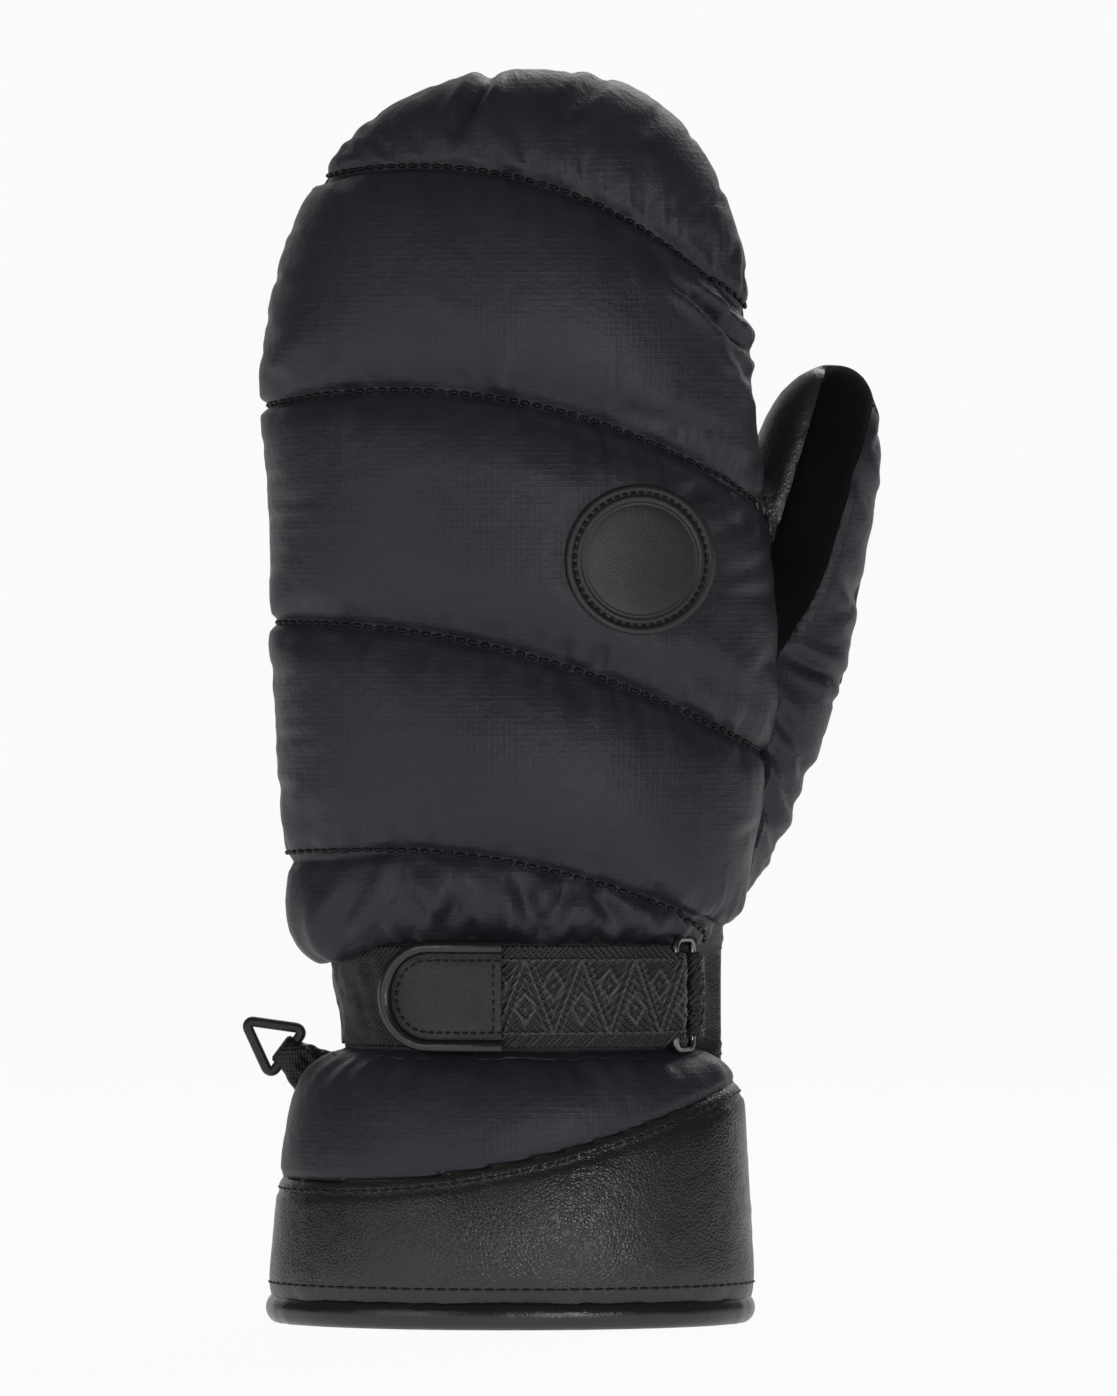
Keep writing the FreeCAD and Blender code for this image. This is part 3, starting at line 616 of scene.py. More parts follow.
cut_bag(on_thumb, lambda point: point.z > 90)
cut_bag(behind_side, lambda point: on_thumb(point) < 0)
cut_bag(lambda point: point.z - CUFF_TOP, lambda point: point.z < 70)
cut_bag(over_leather, lambda point: point.z < CUFF_TOP and point.y < SIDE_SEAM)
cut_bag(suede_edge,
        lambda point: on_thumb(point) > 0 and point.y < SUEDE_DEEP and point.z > SUEDE_FOOT - 4)
cut_bag(lambda point: right_of_suede(point) - SUEDE_WIDTH / 2,
        lambda point: on_thumb(point) > 0 and point.z < SUEDE_FOOT)
cut_bag(lambda point: point.y - THUMB_SIDE, lambda point: on_thumb(point) > 0)
for seam in QUILT:
    cut_bag(lambda point: over_arc(point, seam),
            lambda point: on_thumb(point) < 0 and point.z > CUFF_TOP + 24 and point.y < SIDE_SEAM)
for vert in bag.verts:
    vert.co = vert[filled]
bag.normal_update()
print("cut:", len(bag.faces), "faces")

# %% [markdown]
# ## Grooves and folds
#
# A lockstitch pulls the cloth down by a millimetre or more, in a groove about three millimetres wide, and
# gathers it into short puckers that run away from the seam. A few long folds lie where the hand bends.

# %% Draw the seams in
FOLDS = (
    # start and end across and up, width, depth
    ((38, 249), (58, 233), 1.7, 3.6), ((28, 258), (50, 243), 3.2, 0.9),
    ((-3, 302), (-12, 285), 2.0, 2.2), ((22, 298), (14, 289), 2.2, 1.6),
    ((36, 290), (30, 283), 2.4, 1.0), ((-26, 106), (-19, 96), 2.6, 2.2),
    ((-34, 108), (-41, 98), 2.8, 1.4), ((-12, 104), (-15, 95), 2.4, 1.8),
    ((2, 107), (7, 95), 2.4, 2.4), ((14, 106), (8, 95), 2.4, 2.2), ((20, 104), (27, 95), 2.4, 1.8),
    ((34, 104), (39, 96), 2.6, 1.4), ((44, 244), (60, 224), 2.2, 1.4),
    ((24, 219), (45, 214), 3.2, 0.8), ((-50, 120), (-40, 124), 3.0, 0.8),
    ((40, 160), (55, 150), 3.4, 0.9), ((-52, 167), (-40, 160), 3.0, 0.7),
    ((30, 192), (54, 203), 3.4, 0.6), ((-54, 225), (-42, 233), 3.2, 0.7),
    ((46, 200), (54, 190), 2.8, 0.8), ((-20, 240), (-6, 232), 3.4, 0.5),
)
THUMB_FOLDS = (
    ((67, 160), (80, 154.5), 2.0, 2.0), ((61, 149.5), (70.5, 136), 2.2, 1.8),
    ((70.5, 136), (71, 130), 2.2, 1.4), ((61, 140), (65, 135), 2.0, 1.5),
    ((65, 135), (68.5, 123), 2.2, 1.7), ((60, 128.5), (64, 118), 2.2, 1.6),
    ((64, 118), (64.5, 113), 2.0, 1.2), ((84, 205), (88, 196), 2.4, 0.9),
    ((82, 180), (86, 172), 2.4, 0.9),
)
PALM_FOLDS = (
    ((-46, 160), (6, 168), 3.6, 1.1), ((6, 168), (28, 182), 3.2, 1.3),
    ((-48, 214), (40, 220), 4.0, 0.8), ((10, 108), (26, 150), 3.4, 1.2),
    ((-30, 104), (-24, 122), 3.0, 1.2), ((-8, 102), (-6, 116), 3.0, 1.0),
    ((-50, 190), (-34, 186), 3.0, 0.9), ((-44, 262), (30, 268), 4.2, 0.6),
    ((30, 200), (54, 208), 3.0, 0.9), ((-52, 136), (-36, 130), 3.0, 0.9),
    ((-40, 60), (-30, 48), 3.0, 0.8), ((20, 60), (26, 46), 3.0, 0.8),
)


def quilt_distance(point):
    """How far a point is from the nearest quilting row, with its sign."""
    return min((over_arc(point, seam) for seam in QUILT), key=abs)


def seam_depth(point):
    """How far the stitching draws a point in."""
    name = zone(point)
    depth = 0.0
    if name == "back_quilt" and point.z > HAND_FOOT:
        row = abs(quilt_distance(point))
        depth = 1.7 * math.exp(-(row / 1.3) ** 2) + 0.6 * math.exp(-(row / 5) ** 2)
    if name in ("cuff_nylon", "cuff_leather"):
        depth = 0.9 * math.exp(-(over_leather(point) / 1.2) ** 2)
        depth += 0.5 * math.exp(-((over_leather(point) + 3.4) / 0.9) ** 2)
    if name in ("thumb_suede", "thumb_leather", "thumb_nylon") and point.y < SUEDE_DEEP:
        depth = 0.8 * math.exp(-(suede_edge(point) / 1.2) ** 2)
    side = abs(behind_side(point))
    if "thumb" not in name:
        depth = max(depth, 0.9 * math.exp(-(side / 1.4) ** 2))
    return depth


def pucker(point):
    """Short irregular ridges that run away from a quilting row."""
    if zone(point) != "back_quilt" or point.z < HAND_FOOT:
        return 0.0
    row = quilt_distance(point)
    along = point.x + 0.6 * point.y
    wave = noise.noise(Vector((along / 5.2, math.copysign(9, row), point.z / 90)))
    wave += 0.7 * noise.noise(Vector((along / 2.4, math.copysign(31, row), point.z / 60)))
    reach = 7 + 9 * abs(noise.noise(Vector((along / 9, 70, math.copysign(3, row)))))
    return 1.5 * wave * math.exp(-(row / reach) ** 2) * ease(abs(row), 0.2, 3.0)


def fold_depth(point):
    """How deep the long folds are at a point, with a soft ridge beside each."""
    thumb = on_thumb(point) > 0
    folds = THUMB_FOLDS if thumb else FOLDS if point.y < SIDE_SEAM else PALM_FOLDS
    if thumb and point.y > SUEDE_DEEP:
        return 0.0
    flat = Vector((point.x, point.z))
    total = 0.0
    for start, end, width, depth in folds:
        start, run = Vector(start), Vector(end) - Vector(start)
        share = min(max((flat - start).dot(run) / run.length_squared, 0), 1)
        off = (flat - start - run * share).length / width
        if off < 3:
            fade = 0.35 + 0.65 * math.sin(math.pi * min(max(share, 0.0), 1.0))
            total += depth * fade * (math.exp(-off * off) - 0.45 * math.exp(-(off - 1.6) ** 2))
    return total


def wrist_gather(point):
    """Gathers that fan out above and below the strap."""
    if point.y > SIDE_SEAM:
        return 0.0
    angle = math.atan2(point.x, -point.y)
    wave = noise.noise(Vector((angle * 9, 3.0, point.z / 40)))
    above = math.exp(-((point.z - 97) / 7) ** 2) if point.z > 91 else 0.0
    below = math.exp(-((point.z - 61.5) / 4) ** 2) if point.z < 64.5 else 0.0
    return wave * (1.7 * above + 1.3 * below)


def drawn_in(point):
    """How far a finished point moves along its normal."""
    if point.z < 7:
        return 0.0
    return pucker(point) + wrist_gather(point) - seam_depth(point) - fold_depth(point)


print("grooves:", len(QUILT), "rows and", len(FOLDS + THUMB_FOLDS + PALM_FOLDS), "folds")

# %% The palm's leather stands out beside the wrist
AXIS_X = 2.0   # how far the wrist's middle is towards the thumb
WAIST_WIDE, WAIST_DEEP = 39.4, 24.4
WRIST_WIDE, WRIST_DEEP = 53.0, 29.0
for vert in bag.verts:
    at = vert[drawn]
    if at.y > SIDE_SEAM - 0.2 and 58 < at.z < 100 and at.x > 0:
        swell = ease(at.y, SIDE_SEAM, SIDE_SEAM + 5) * ease(at.x, 5, 25)
        swell *= ease(at.z, 58, 66) * (1 - ease(at.z, 92, 100))
        turn = math.atan2(at.y / WAIST_DEEP, (at.x - AXIS_X) / WAIST_WIDE)
        full = Vector((AXIS_X + WRIST_WIDE * math.cos(turn), WRIST_DEEP * math.sin(turn)))
        if full.x > vert.co.x:
            vert.co.x += (full.x - vert.co.x) * swell
            vert.co.y += max(full.y - vert.co.y, 0) * swell

# %% The shell hangs over the strap at the outer side
for vert in bag.verts:
    at = vert[drawn]
    if at.y < SIDE_SEAM + 6 and 90 < at.z < 125 and at.x < 0:
        hang = ease(-at.x, 22, 44) * (1 - ease(at.z, 96, 125)) * (1 - ease(at.y, 0, SIDE_SEAM + 6))
        hang *= ease(at.z, 90.5, 93)
        vert.co += Vector((-1.8, -0.8, -6.0)) * hang

# %% [markdown]
# ## Where the weave runs
#
# Cloth patterns have to follow the panel round the hand. Each point keeps its distance round the hand
# and its height, in millimetres, in an attribute called weave, and the thumb has its own.

# %% Measure round the hand
ROUND_STEPS = 90
round_hand = [0.0]
for step in range(ROUND_STEPS):
    turn = (step + 0.5) * math.pi / ROUND_STEPS
    piece = math.hypot(58 * math.cos(turn), 32 * math.sin(turn)) * math.pi / ROUND_STEPS
    round_hand.append(round_hand[-1] + piece)


def weave_at(point):
    """Distance round and up the panel at a point of the drawn shape."""
    if on_thumb(point) > 0:
        return Vector((16.5 * math.atan2(right_of_suede(point) - 6, 20 - point.y), point.z, 0))
    turn = math.atan2(point.x / 58, -point.y / 32)
    share = abs(turn) / math.pi * ROUND_STEPS
    step = min(int(share), ROUND_STEPS - 1)
    length = round_hand[step] + (round_hand[step + 1] - round_hand[step]) * (share - step)
    return Vector((math.copysign(length, turn), point.z, 0))


weave = bag.verts.layers.float_vector.new("weave")
facing = bag.verts.layers.float_vector.new("facing")
bag.normal_update()
for vert in bag.verts:
    vert[weave] = weave_at(vert[drawn])
    vert[facing] = vert.normal

# %% [markdown]
# ## The badge's seat
#
# The badge is a stiff leather disc sewn on over the wadding, so it presses the quilt down under it and
# bends only a little. Its back is a shallow trough through three heights of the quilt, and the quilt is
# kept behind it.

# %% Press the quilt under the badge
BADGE_BACK = 1.4   # how far the badge's middle sinks below the quilt's fullest height


def quilt_front(x, z, tree):
    """How far out the filled cloth is at one place on the back of the hand."""
    return tree.ray_cast(Vector((x, -90, z)), Vector((0, 1, 0)))[0].y


bag_tree = BVHTree.FromBMesh(bag)
left, centre, right = [quilt_front(BADGE_X + off, BADGE_Z, bag_tree) for off in (-17, 0, 17)]
low, high = [quilt_front(BADGE_X, BADGE_Z + off, bag_tree) for off in (-16, 16)]


def badge_back(x, z):
    """The badge's back face, a shallow trough that leans with the hand."""
    u, v = (x - BADGE_X) / 17, (z - BADGE_Z) / 16
    lean = (right - left) / 2 * u + (high - low) / 2 * v
    return centre + BADGE_BACK + lean + 0.7 * ((left + right) / 2 - centre) * u * u


for vert in bag.verts:
    off = math.hypot(vert.co.x - BADGE_X, vert.co.z - BADGE_Z)
    if off < BADGE_RADIUS + 5 and vert.co.y < 0:
        back = badge_back(vert.co.x, vert.co.z) + 0.3
        press = 1 - ease(off, BADGE_RADIUS - 0.5, BADGE_RADIUS + 4.5)
        vert.co.y += max(back - vert.co.y, 0) * press
print("badge seat:", round(centre, 1), "mm at its middle")

# %% [markdown]
# ## Sew the panels
#
# Each panel becomes a piece of its own: the faces of its zone, smoothed once by a subdivision, drawn in
# along the seams and folds, then given the thickness of its cloth or leather inwards. All but the thin
# suede strip have wadding behind them.

# %% Part the panels
PANELS = {
    # zone: material, slot, thickness, fill, nodes
    "back_quilt": (nylon, "nylon", 1.0, 0.7, "back_shell", "back_insulation"),
    "palm_leather": (palm_leather, "palm_leather", 1.2, 0.6, "palm_leather", "palm_insulation"),
    "thumb_nylon": (nylon, "nylon", 0.8, 0.6, "thumb_shell", "thumb_insulation"),
    "thumb_suede": (suede, "suede", 0.9, None, "thumb_suede"),
    "thumb_leather": (palm_leather, "palm_leather", 0.9, 0.6, "thumb_leather"),
    "cuff_nylon": (nylon, "nylon", 0.9, 0.5, "gauntlet_fabric", "gauntlet_insulation"),
    "cuff_leather": (cuff_leather, "cuff_leather", 1.0, 0.5, "gauntlet_leather"),
    "cuff_palm": (cuff_leather, "cuff_leather", 1.0, 0.5, "gauntlet_palm"),
}
skin = {}
for name, (material, slot, thick, fill, *nodes) in PANELS.items():
    panel = bag.copy()
    layer = panel.verts.layers.float_vector["rest"]
    others = [face for face in panel.faces if zone(middle(face, layer)) != name]
    bmesh.ops.delete(panel, geom=others, context="FACES")
    piece = build(f"{name}_panel", panel, material)
    smooth = piece.modifiers.new("smooth", "SUBSURF")
    smooth.levels = smooth.render_levels = 1
    apply_modifiers(piece)
    points, facings = piece.data.attributes["rest"].data, piece.data.attributes["facing"].data
    for vert, point, way in zip(piece.data.vertices, points, facings):
        vert.co += way.vector.normalized() * drawn_in(point.vector) * MM
    thicken(piece, thick)
    place(piece, "mitten", slot, *nodes)
    skin[name] = piece
bag.free()
bpy.data.objects.remove(stuffed)

# %% [markdown]
# ## Stitching
#
# Lockstitch shows as a row of short dashes that lie in the groove. Each dash is a small ball drawn out
# along the seam. The rows are found by rays from outside, so they lie on the finished panels.

# %% Tools for stitches
together = bmesh.new()
for piece in skin.values():
    together.from_mesh(piece.data)
bmesh.ops.scale(together, vec=(1 / MM, 1 / MM, 1 / MM), verts=together.verts)
skin_tree = BVHTree.FromBMesh(together)
together.free()


def round_skin(turn, height_at):
    """The point and normal on the panels, at an angle round the hand, where a row's height says."""
    x = AXIS_X + 58 * math.cos(turn)
    for _ in range(3):
        z = height_at(x)
        start = Vector((AXIS_X + 110 * math.cos(turn), 80 * math.sin(turn), z))
        point, normal = skin_tree.ray_cast(start, Vector((AXIS_X, 0, z)) - start)[:2]
        x = point.x
    return point, normal


def row_round(height_at, first, last, steps=160):
    """A row of points and normals from one angle to another."""
    return [round_skin(first + (last - first) * step / steps, height_at) for step in range(steps + 1)]


def dashes(bm, row, pitch=2.9, length=2.7, radius=0.42, lift=0.1):
    """Lays drawn-out balls at an even pitch along a row of points and normals."""
    travelled, wanted = 0.0, pitch / 2
    for (start, normal), (end, _) in zip(row, row[1:]):
        run = end - start
        while run.length and travelled + run.length >= wanted:
            spot = start + run * ((wanted - travelled) / run.length) + normal * lift
            turn = run.to_track_quat("Z", "Y").to_matrix().to_4x4()
            size = Matrix.Diagonal((radius, radius, length / 2, 1))
            bmesh.ops.create_uvsphere(bm, u_segments=6, v_segments=5, radius=1,
                                      matrix=Matrix.Translation(spot) @ turn @ size)
            wanted += pitch
        travelled += run.length


def arc_height(seam):
    """The height of a quilting row across the hand."""
    x, z, radius = QUILT[seam]
    return lambda across: z - radius + math.sqrt(radius**2 - (across - x) ** 2)


def leather_height(below):
    """The height of a row that runs a little below the leather's upper edge."""
    x, z, radius = LEATHER_ARC
    return lambda across: z - math.sqrt((radius + below) ** 2 - (across - x) ** 2)


LEFT_SEAM, RIGHT_SEAM = math.pi - 0.02, 2 * math.pi + 0.02
CUFF_ROW, HEM_ROW = 2.6, 9.8   # below the leather's upper edge, and above the table

# %% Quilting rows
for seam in QUILT:
    bm = bmesh.new()
    dashes(bm, row_round(arc_height(seam), LEFT_SEAM, RIGHT_SEAM), radius=0.62, lift=0.15)
    place(build(f"quilt_stitches_{seam}", bm, thread), "mitten", "thread", f"quilt_thread_{seam}")

# %% Rows on the cuff
bm = bmesh.new()
dashes(bm, row_round(leather_height(CUFF_ROW), LEFT_SEAM, RIGHT_SEAM), radius=0.34, lift=0.05)
place(build("cuff_stitches", bm, thread), "mitten", "thread", "gauntlet_thread")
bm = bmesh.new()
dashes(bm, row_round(lambda across: HEM_ROW, 0, 2 * math.pi, 260), radius=0.34, lift=0.05)
place(build("hem_stitches", bm, thread), "mitten", "thread", "hem_thread")

# %% [markdown]
# ## Hem binding
#
# The lower edge is bound with a strip of leather rolled round a cord, 8 mm thick. The strip is a ring
# turned by a spin and pushed out to the cuff's oval. It stands on the table, so its underside is flat.

# %% Roll the hem
HEM_A, HEM_B, HEM_Z, HEM_R, SPUN = 55.0, 37.0, 3.5, 4.0, 46.0
bm = bmesh.new()
ring = bmesh.ops.create_circle(bm, segments=24, radius=HEM_R)["verts"]
bmesh.ops.rotate(bm, verts=ring, matrix=Matrix.Rotation(math.pi / 2, 3, "X"))
bmesh.ops.translate(bm, verts=ring, vec=(SPUN, 0, HEM_Z))
bmesh.ops.spin(bm, geom=bm.verts[:] + bm.edges[:], cent=(0, 0, 0), axis=(0, 0, 1), angle=2 * math.pi,
               steps=200, use_merge=True)
weave = bm.verts.layers.float_vector.new("weave")
for vert in bm.verts:
    turn, out = math.atan2(vert.co.y, vert.co.x), math.hypot(vert.co.x, vert.co.y) - SPUN
    normal = Vector((HEM_B * math.cos(turn), HEM_A * math.sin(turn), 0)).normalized()
    vert[weave] = Vector((turn * SPUN, HEM_R * math.atan2(vert.co.z - HEM_Z, out), 0))
    swell = 1 + 0.035 * noise.noise(Vector((turn * 14, 0, 2))) - 0.02
    spot = Vector((HEM_A * math.cos(turn), HEM_B * math.sin(turn), 0)) + normal * out * swell
    vert.co = (spot.x, spot.y, max(HEM_Z + (vert.co.z - HEM_Z) * swell, 0.0))
bmesh.ops.recalc_face_normals(bm, faces=bm.faces)
place(build("hem_roll", bm, trim_leather), "mitten", "trim_leather", "hem_binding")

# %% [markdown]
# ## Lining
#
# The fleece inside is a second, smaller bag, merged like the first and opened at the cuff. It is seen
# from below, and gives the mitten its inside.

# %% Line the bag
bm = bmesh.new()
ring_loft(bm, [(z, x, y, a - 5 - 2 * ease(z, 80, 130), b - 5 - 2 * ease(z, 80, 130))
               for z, x, y, a, b in hand_rings if z < 290])
ring_loft(bm, [(z, x, y, a - 5, b - 5) for z, x, y, a, b in thumb_rings if z < 222])
bmesh.ops.recalc_face_normals(bm, faces=bm.faces)
lining = build("fleece_bag", bm, fleece)
even_out(lining, 3.0, 6)
bm = bmesh.new()
bm.from_mesh(lining.data)
mouth = [face for face in bm.faces
         if face.calc_center_median().z < 6.5 * MM and face.normal.z < -0.4]
bmesh.ops.delete(bm, geom=mouth, context="FACES")
for vert in bm.verts:
    vert.co += vert.normal * noise.noise(vert.co / MM / 7) * 0.7 * MM
bm.to_mesh(lining.data)
bm.free()
lining.data.polygons.foreach_set("use_smooth", [True] * len(lining.data.polygons))
thicken(lining, 1.0)
place(lining, "mitten", "lining", "back_lining", "palm_lining", "thumb_lining", "gauntlet_lining")

# %% [markdown]
# ## Round the wrist
#
# The wrist is an oval, and the elastic, the webbing and the tab lie on it one over another. Each is a
# flat grid bent round the oval at its own distance out, along a path seen from above. A relief function
# raises the threads, and a Solidify gives the thickness.

# %% Paths round the wrist
WAIST_A, WAIST_B, STRAP_Z, STRAP_HALF = 40.0, 25.0, 79.0, 12


def waist(turn, out):
    """A point at a distance outside the wrist's oval."""
    normal = Vector((WAIST_B * math.cos(turn), WAIST_A * math.sin(turn))).normalized()
    return Vector((AXIS_X + WAIST_A * math.cos(turn), WAIST_B * math.sin(turn))) + normal * out


def turn_at(x, out):
    """The angle at which the front of the oval passes a place across."""
    return 2 * math.pi - math.acos((x - AXIS_X) / (WAIST_A + out))


def turn_near(x, y):
    """The angle whose outward line passes a point."""
    spots = [math.pi + step / 400 * (math.pi + 0.4) for step in range(401)]
    return min(spots, key=lambda turn: (waist(turn, 5.5) - Vector((x, y))).length)


def waist_path(first, last, out, steps=120):
    """Points on the oval from one angle to another, at a distance out that may change."""
    spots = [first + (last - first) * step / steps for step in range(steps + 1)]
    return [waist(turn, out(turn) if callable(out) else out) for turn in spots]


def bar_path(x, y, radius, first, last, steps=16):
    """Points round a wire bar."""
    spots = [first + (last - first) * step / steps for step in range(steps + 1)]
    return [Vector((x + radius * math.cos(turn), y + radius * math.sin(turn))) for turn in spots]


class Path:
    """A line of points seen from above, walked by length."""

    def __init__(self, points):
        self.points = points
        self.marks = [0.0]
        for one, two in zip(points, points[1:]):
            self.marks.append(self.marks[-1] + (two - one).length)
        self.length = self.marks[-1]

    def at(self, length):
        """The point at a length, and the direction that faces away from the wrist."""
        length = min(max(length, 0.0), self.length)
        step = min(bisect.bisect_right(self.marks, length), len(self.marks) - 1)
        one, two = self.points[step - 1], self.points[step]
        share = (length - self.marks[step - 1]) / max(self.marks[step] - self.marks[step - 1], 1e-9)
        before = self.points[max(step - 2, 0)]
        after = self.points[min(step + 1, len(self.points) - 1)]
        run = (two - before).normalized() * (1 - share) + (after - one).normalized() * share
        run.normalize()
        return one.lerp(two, share), Vector((run.y, -run.x))


def ribbon(name, path, low, high, thick, step, material, relief=None, shape=None):
    """A strip that stands on a path, with a relief whose height is also kept for its colour: webbing and
    elastic are painted lighter where the strip stands out, a painted highlight.
    """
    bm = bmesh.new()
    across = max(round(path.length / step), 2)
    up = max(round((high - low) / step), 2)
    bmesh.ops.create_grid(bm, x_segments=across, y_segments=up, size=1)
    weave = bm.verts.layers.float_vector.new("weave")
    for vert in bm.verts:
        u, v = (vert.co.x + 1) / 2, (vert.co.y + 1) / 2
        length, z = shape(u, v) if shape else (u * path.length, low + v * (high - low))
        point, normal = path.at(length)
        rise = relief(length, z) if relief else 0.0
        vert.co = (*(point + normal * rise), z)
        vert[weave] = Vector((length, z, rise))
    piece = build(name, bm, material)
    thicken(piece, thick)
    return piece


# %% Elastic, webbing base and touch tape
def ribs(length, z):
    """Horizontal ribs where rubber cords run in the elastic."""
    return 0.22 * math.cos(2 * math.pi * z / 1.9) + 0.3 * noise.noise(Vector((length / 6, z / 22, 5)))


def crinkle(length, z):
    """Slanting creases in webbing that is loose on the wrist."""
    fold = noise.noise(Vector(((length + 0.5 * z) / 3.4, (z - 0.4 * length) / 9.5, 8.0)))
    # The loose bulge's height also sets the webbing's colour, so it is painted light there: a painted
    # highlight.
    loose = 2.4 * ease(z, 69, 88) * (1 - ease(length, 6, 20))
    return loose + 0.55 * fold + 0.2 * noise.noise(Vector((length / 1.7, z / 1.9, 2.0)))


def pile(length, z):
    """The tufts of touch tape."""
    return 0.25 * noise.noise(Vector((length / 0.9, z / 0.9, 4.0)))


band = Path(waist_path(math.pi - 0.14, 2 * math.pi + 0.14, 1.5))
place(ribbon("elastic_band", band, 65.0, 93.0, 1.3, 0.45, elastic_tape, ribs),
      "mitten", "elastic", "wrist_elastic")
base = Path(waist_path(math.pi - 0.12, turn_at(39.0, 3.0), 2.7))
place(ribbon("webbing_base", base, 67.0, 91.0, 1.1, 0.7, webbing, crinkle),
      "mitten", "elastic_webbing", "strap_base")
loops = Path(waist_path(turn_at(-24.0, 4.0), turn_at(24.0, 4.0), 3.9))
place(ribbon("touch_tape_loops", loops, 69.0, 89.0, 0.8, 0.8, pile_tape, pile),
      "mitten", "loop_pile", "loop_patch")
hooks = Path(waist_path(turn_at(-23.0, 5.3), turn_at(-4.2, 5.3), 5.2))
place(ribbon("touch_tape_hooks", hooks, 69.4, 88.6, 0.8, 0.8, pile_tape, pile),
      "flap", "hook_pile", "hook_patch")

# %% [markdown]
# ## Webbing flap
#
# Jacquard webbing 24 mm wide, with a twill band along each edge and a raised figure between. The figure
# is a plain one, rows of triangles hatched in two directions. The threads stand a quarter of a
# millimetre proud, and are modelled, because they catch the light from the side.
# The threads' height is also painted into the webbing's colour, lighter where they stand proud: a painted
# highlight.

# %% Weave and fold the webbing
EDGE_BAND, TRIANGLE = 3.2, 13.6


def figure(length, z):
    """Raised threads: twill at the edges, hatched triangles between."""
    low, high = STRAP_Z - STRAP_HALF + EDGE_BAND, STRAP_Z + STRAP_HALF - EDGE_BAND
    if not low < z < high:
        return 0.16 * math.sin(2 * math.pi * (length + z * math.copysign(0.9, z - STRAP_Z)) / 1.7)
    share = (z - low) / (high - low)
    peak = abs((length / TRIANGLE) % 1 - 0.5) * 2
    edge = abs(share - peak) * (high - low) * 0.55
    slant = 1 if share < peak else -1
    hatch = math.sin(2 * math.pi * (length * 0.8 + slant * z) / 1.9)
    line = 0.5 * math.exp(-(edge / 0.5) ** 2)
    border = 0.35 * math.exp(-(min(z - low, high - z) / 0.4) ** 2)
    inner = 0.34 * math.exp(-((edge - 2.4) / 0.45) ** 2)
    tall = share if slant > 0 else 1 - share
    gem = abs(peak - 1 if slant > 0 else peak) * 6.2 + abs(tall - 0.34) * 11
    inner = max(inner, 0.45 * math.exp(-((gem - 2.3) / 0.5) ** 2), 0.4 * math.exp(-(gem / 0.7) ** 2))
    return max(line, border, inner) + 0.13 * hatch


BAR_X, BAR_Y, BAR_FOLD = 39.501, -17.655, 2.48
facing = turn_near(BAR_X, BAR_Y)
out = waist(facing, 1) - waist(facing, 0)
facing_angle = math.atan2(out.y, out.x)
rise_to = (Vector((BAR_X, BAR_Y)) - waist(facing, 0)).length + BAR_FOLD - 6.8
arm = waist_path(turn_at(-24.1, 6.8), facing - 0.01,
                 lambda turn: 6.8 + rise_to * ease(turn, facing - 0.16, facing - 0.02))
fold = bar_path(BAR_X, BAR_Y, BAR_FOLD, facing_angle, facing_angle + math.pi * 0.98)
flap_path = Path(arm + fold)


def flap_shape(u, v):
    """The webbing narrows where it turns round the bar, between the ring's bent corners."""
    length = u * flap_path.length
    half = STRAP_HALF - 2.0 * ease(length, flap_path.length - 13, flap_path.length - 9)
    return length, STRAP_Z + (2 * v - 1) * half


place(ribbon("webbing_flap", flap_path, 67.0, 91.0, 1.3, 0.36, jacquard, figure, flap_shape),
      "flap", "jacquard_webbing", "strap_flap")

# %% Keeper loop
KEEP_X, KEEP_Y, KEEP_FOLD = 43.637, -8.894, 2.28
behind = turn_near(KEEP_X, KEEP_Y)
out = waist(behind, 1) - waist(behind, 0)
behind_angle = math.atan2(out.y, out.x)
top = (Vector((KEEP_X, KEEP_Y)) - waist(behind, 0)).length + KEEP_FOLD
last = 2 * math.pi + 0.15
keeper = bar_path(KEEP_X, KEEP_Y, KEEP_FOLD, behind_angle - math.pi, behind_angle)
keeper += waist_path(behind + 0.03, last,
                     lambda turn: 2.9 + (top - 2.9) * (1 - ease(turn, behind + 0.02, behind + 0.3)))
place(ribbon("keeper_loop", Path(keeper), 69.0, 89.0, 1.2, 0.5, webbing, figure),
      "mitten", "elastic_webbing", "ring_keeper")

# %% [markdown]
# ## Leather tab
#
# The pull tab is a D of leather, 31 mm long, with its edge turned round a filler into a glossy roll and a
# row of stitches inside it.

# %% D-shaped tab
TAB_HALF, ROLL = 13.4, 1.6
tab_path = Path(waist_path(turn_at(-33.1, 8.6), turn_at(-2.2, 8.6), 7.7))


def tab_outline(inset, share):
    """A point on the D's outline, inset, from its top right corner round the tip to the bottom right."""
    half = TAB_HALF - inset
    straight = tab_path.length - TAB_HALF
    total = 2 * straight + math.pi * half
    walked = share * total
    if walked < straight:
        return tab_path.length - walked, STRAP_Z + half
    if walked > total - straight:
        return TAB_HALF + walked - (total - straight), STRAP_Z - half
    turn = (walked - straight) / half
    return TAB_HALF - half * math.sin(turn), STRAP_Z + half * math.cos(turn)


def tab_shape(u, v):
    """A grid drawn to a D with a round left end."""
    half = TAB_HALF - ROLL + 0.4
    up = (2 * v - 1) * half
    start = TAB_HALF - math.sqrt(max(half**2 - up**2, 0.0))
    return start + u * (tab_path.length - start), STRAP_Z + up


def on_tab(length, z, lift):
    """A point over the tab, and its outward normal."""
    point, normal = tab_path.at(length)
    return Vector((*(point + normal * lift), z)), Vector((*normal, 0.0))


def tab_crown(length, z):
    """The leather is a little fuller at its middle than at the stitched edge."""
    edge = min(TAB_HALF - abs(z - STRAP_Z), length)
    return 0.5 * ease(edge, 2, 7) + 0.12 * noise.noise(Vector((length / 5, z / 5, 1)))


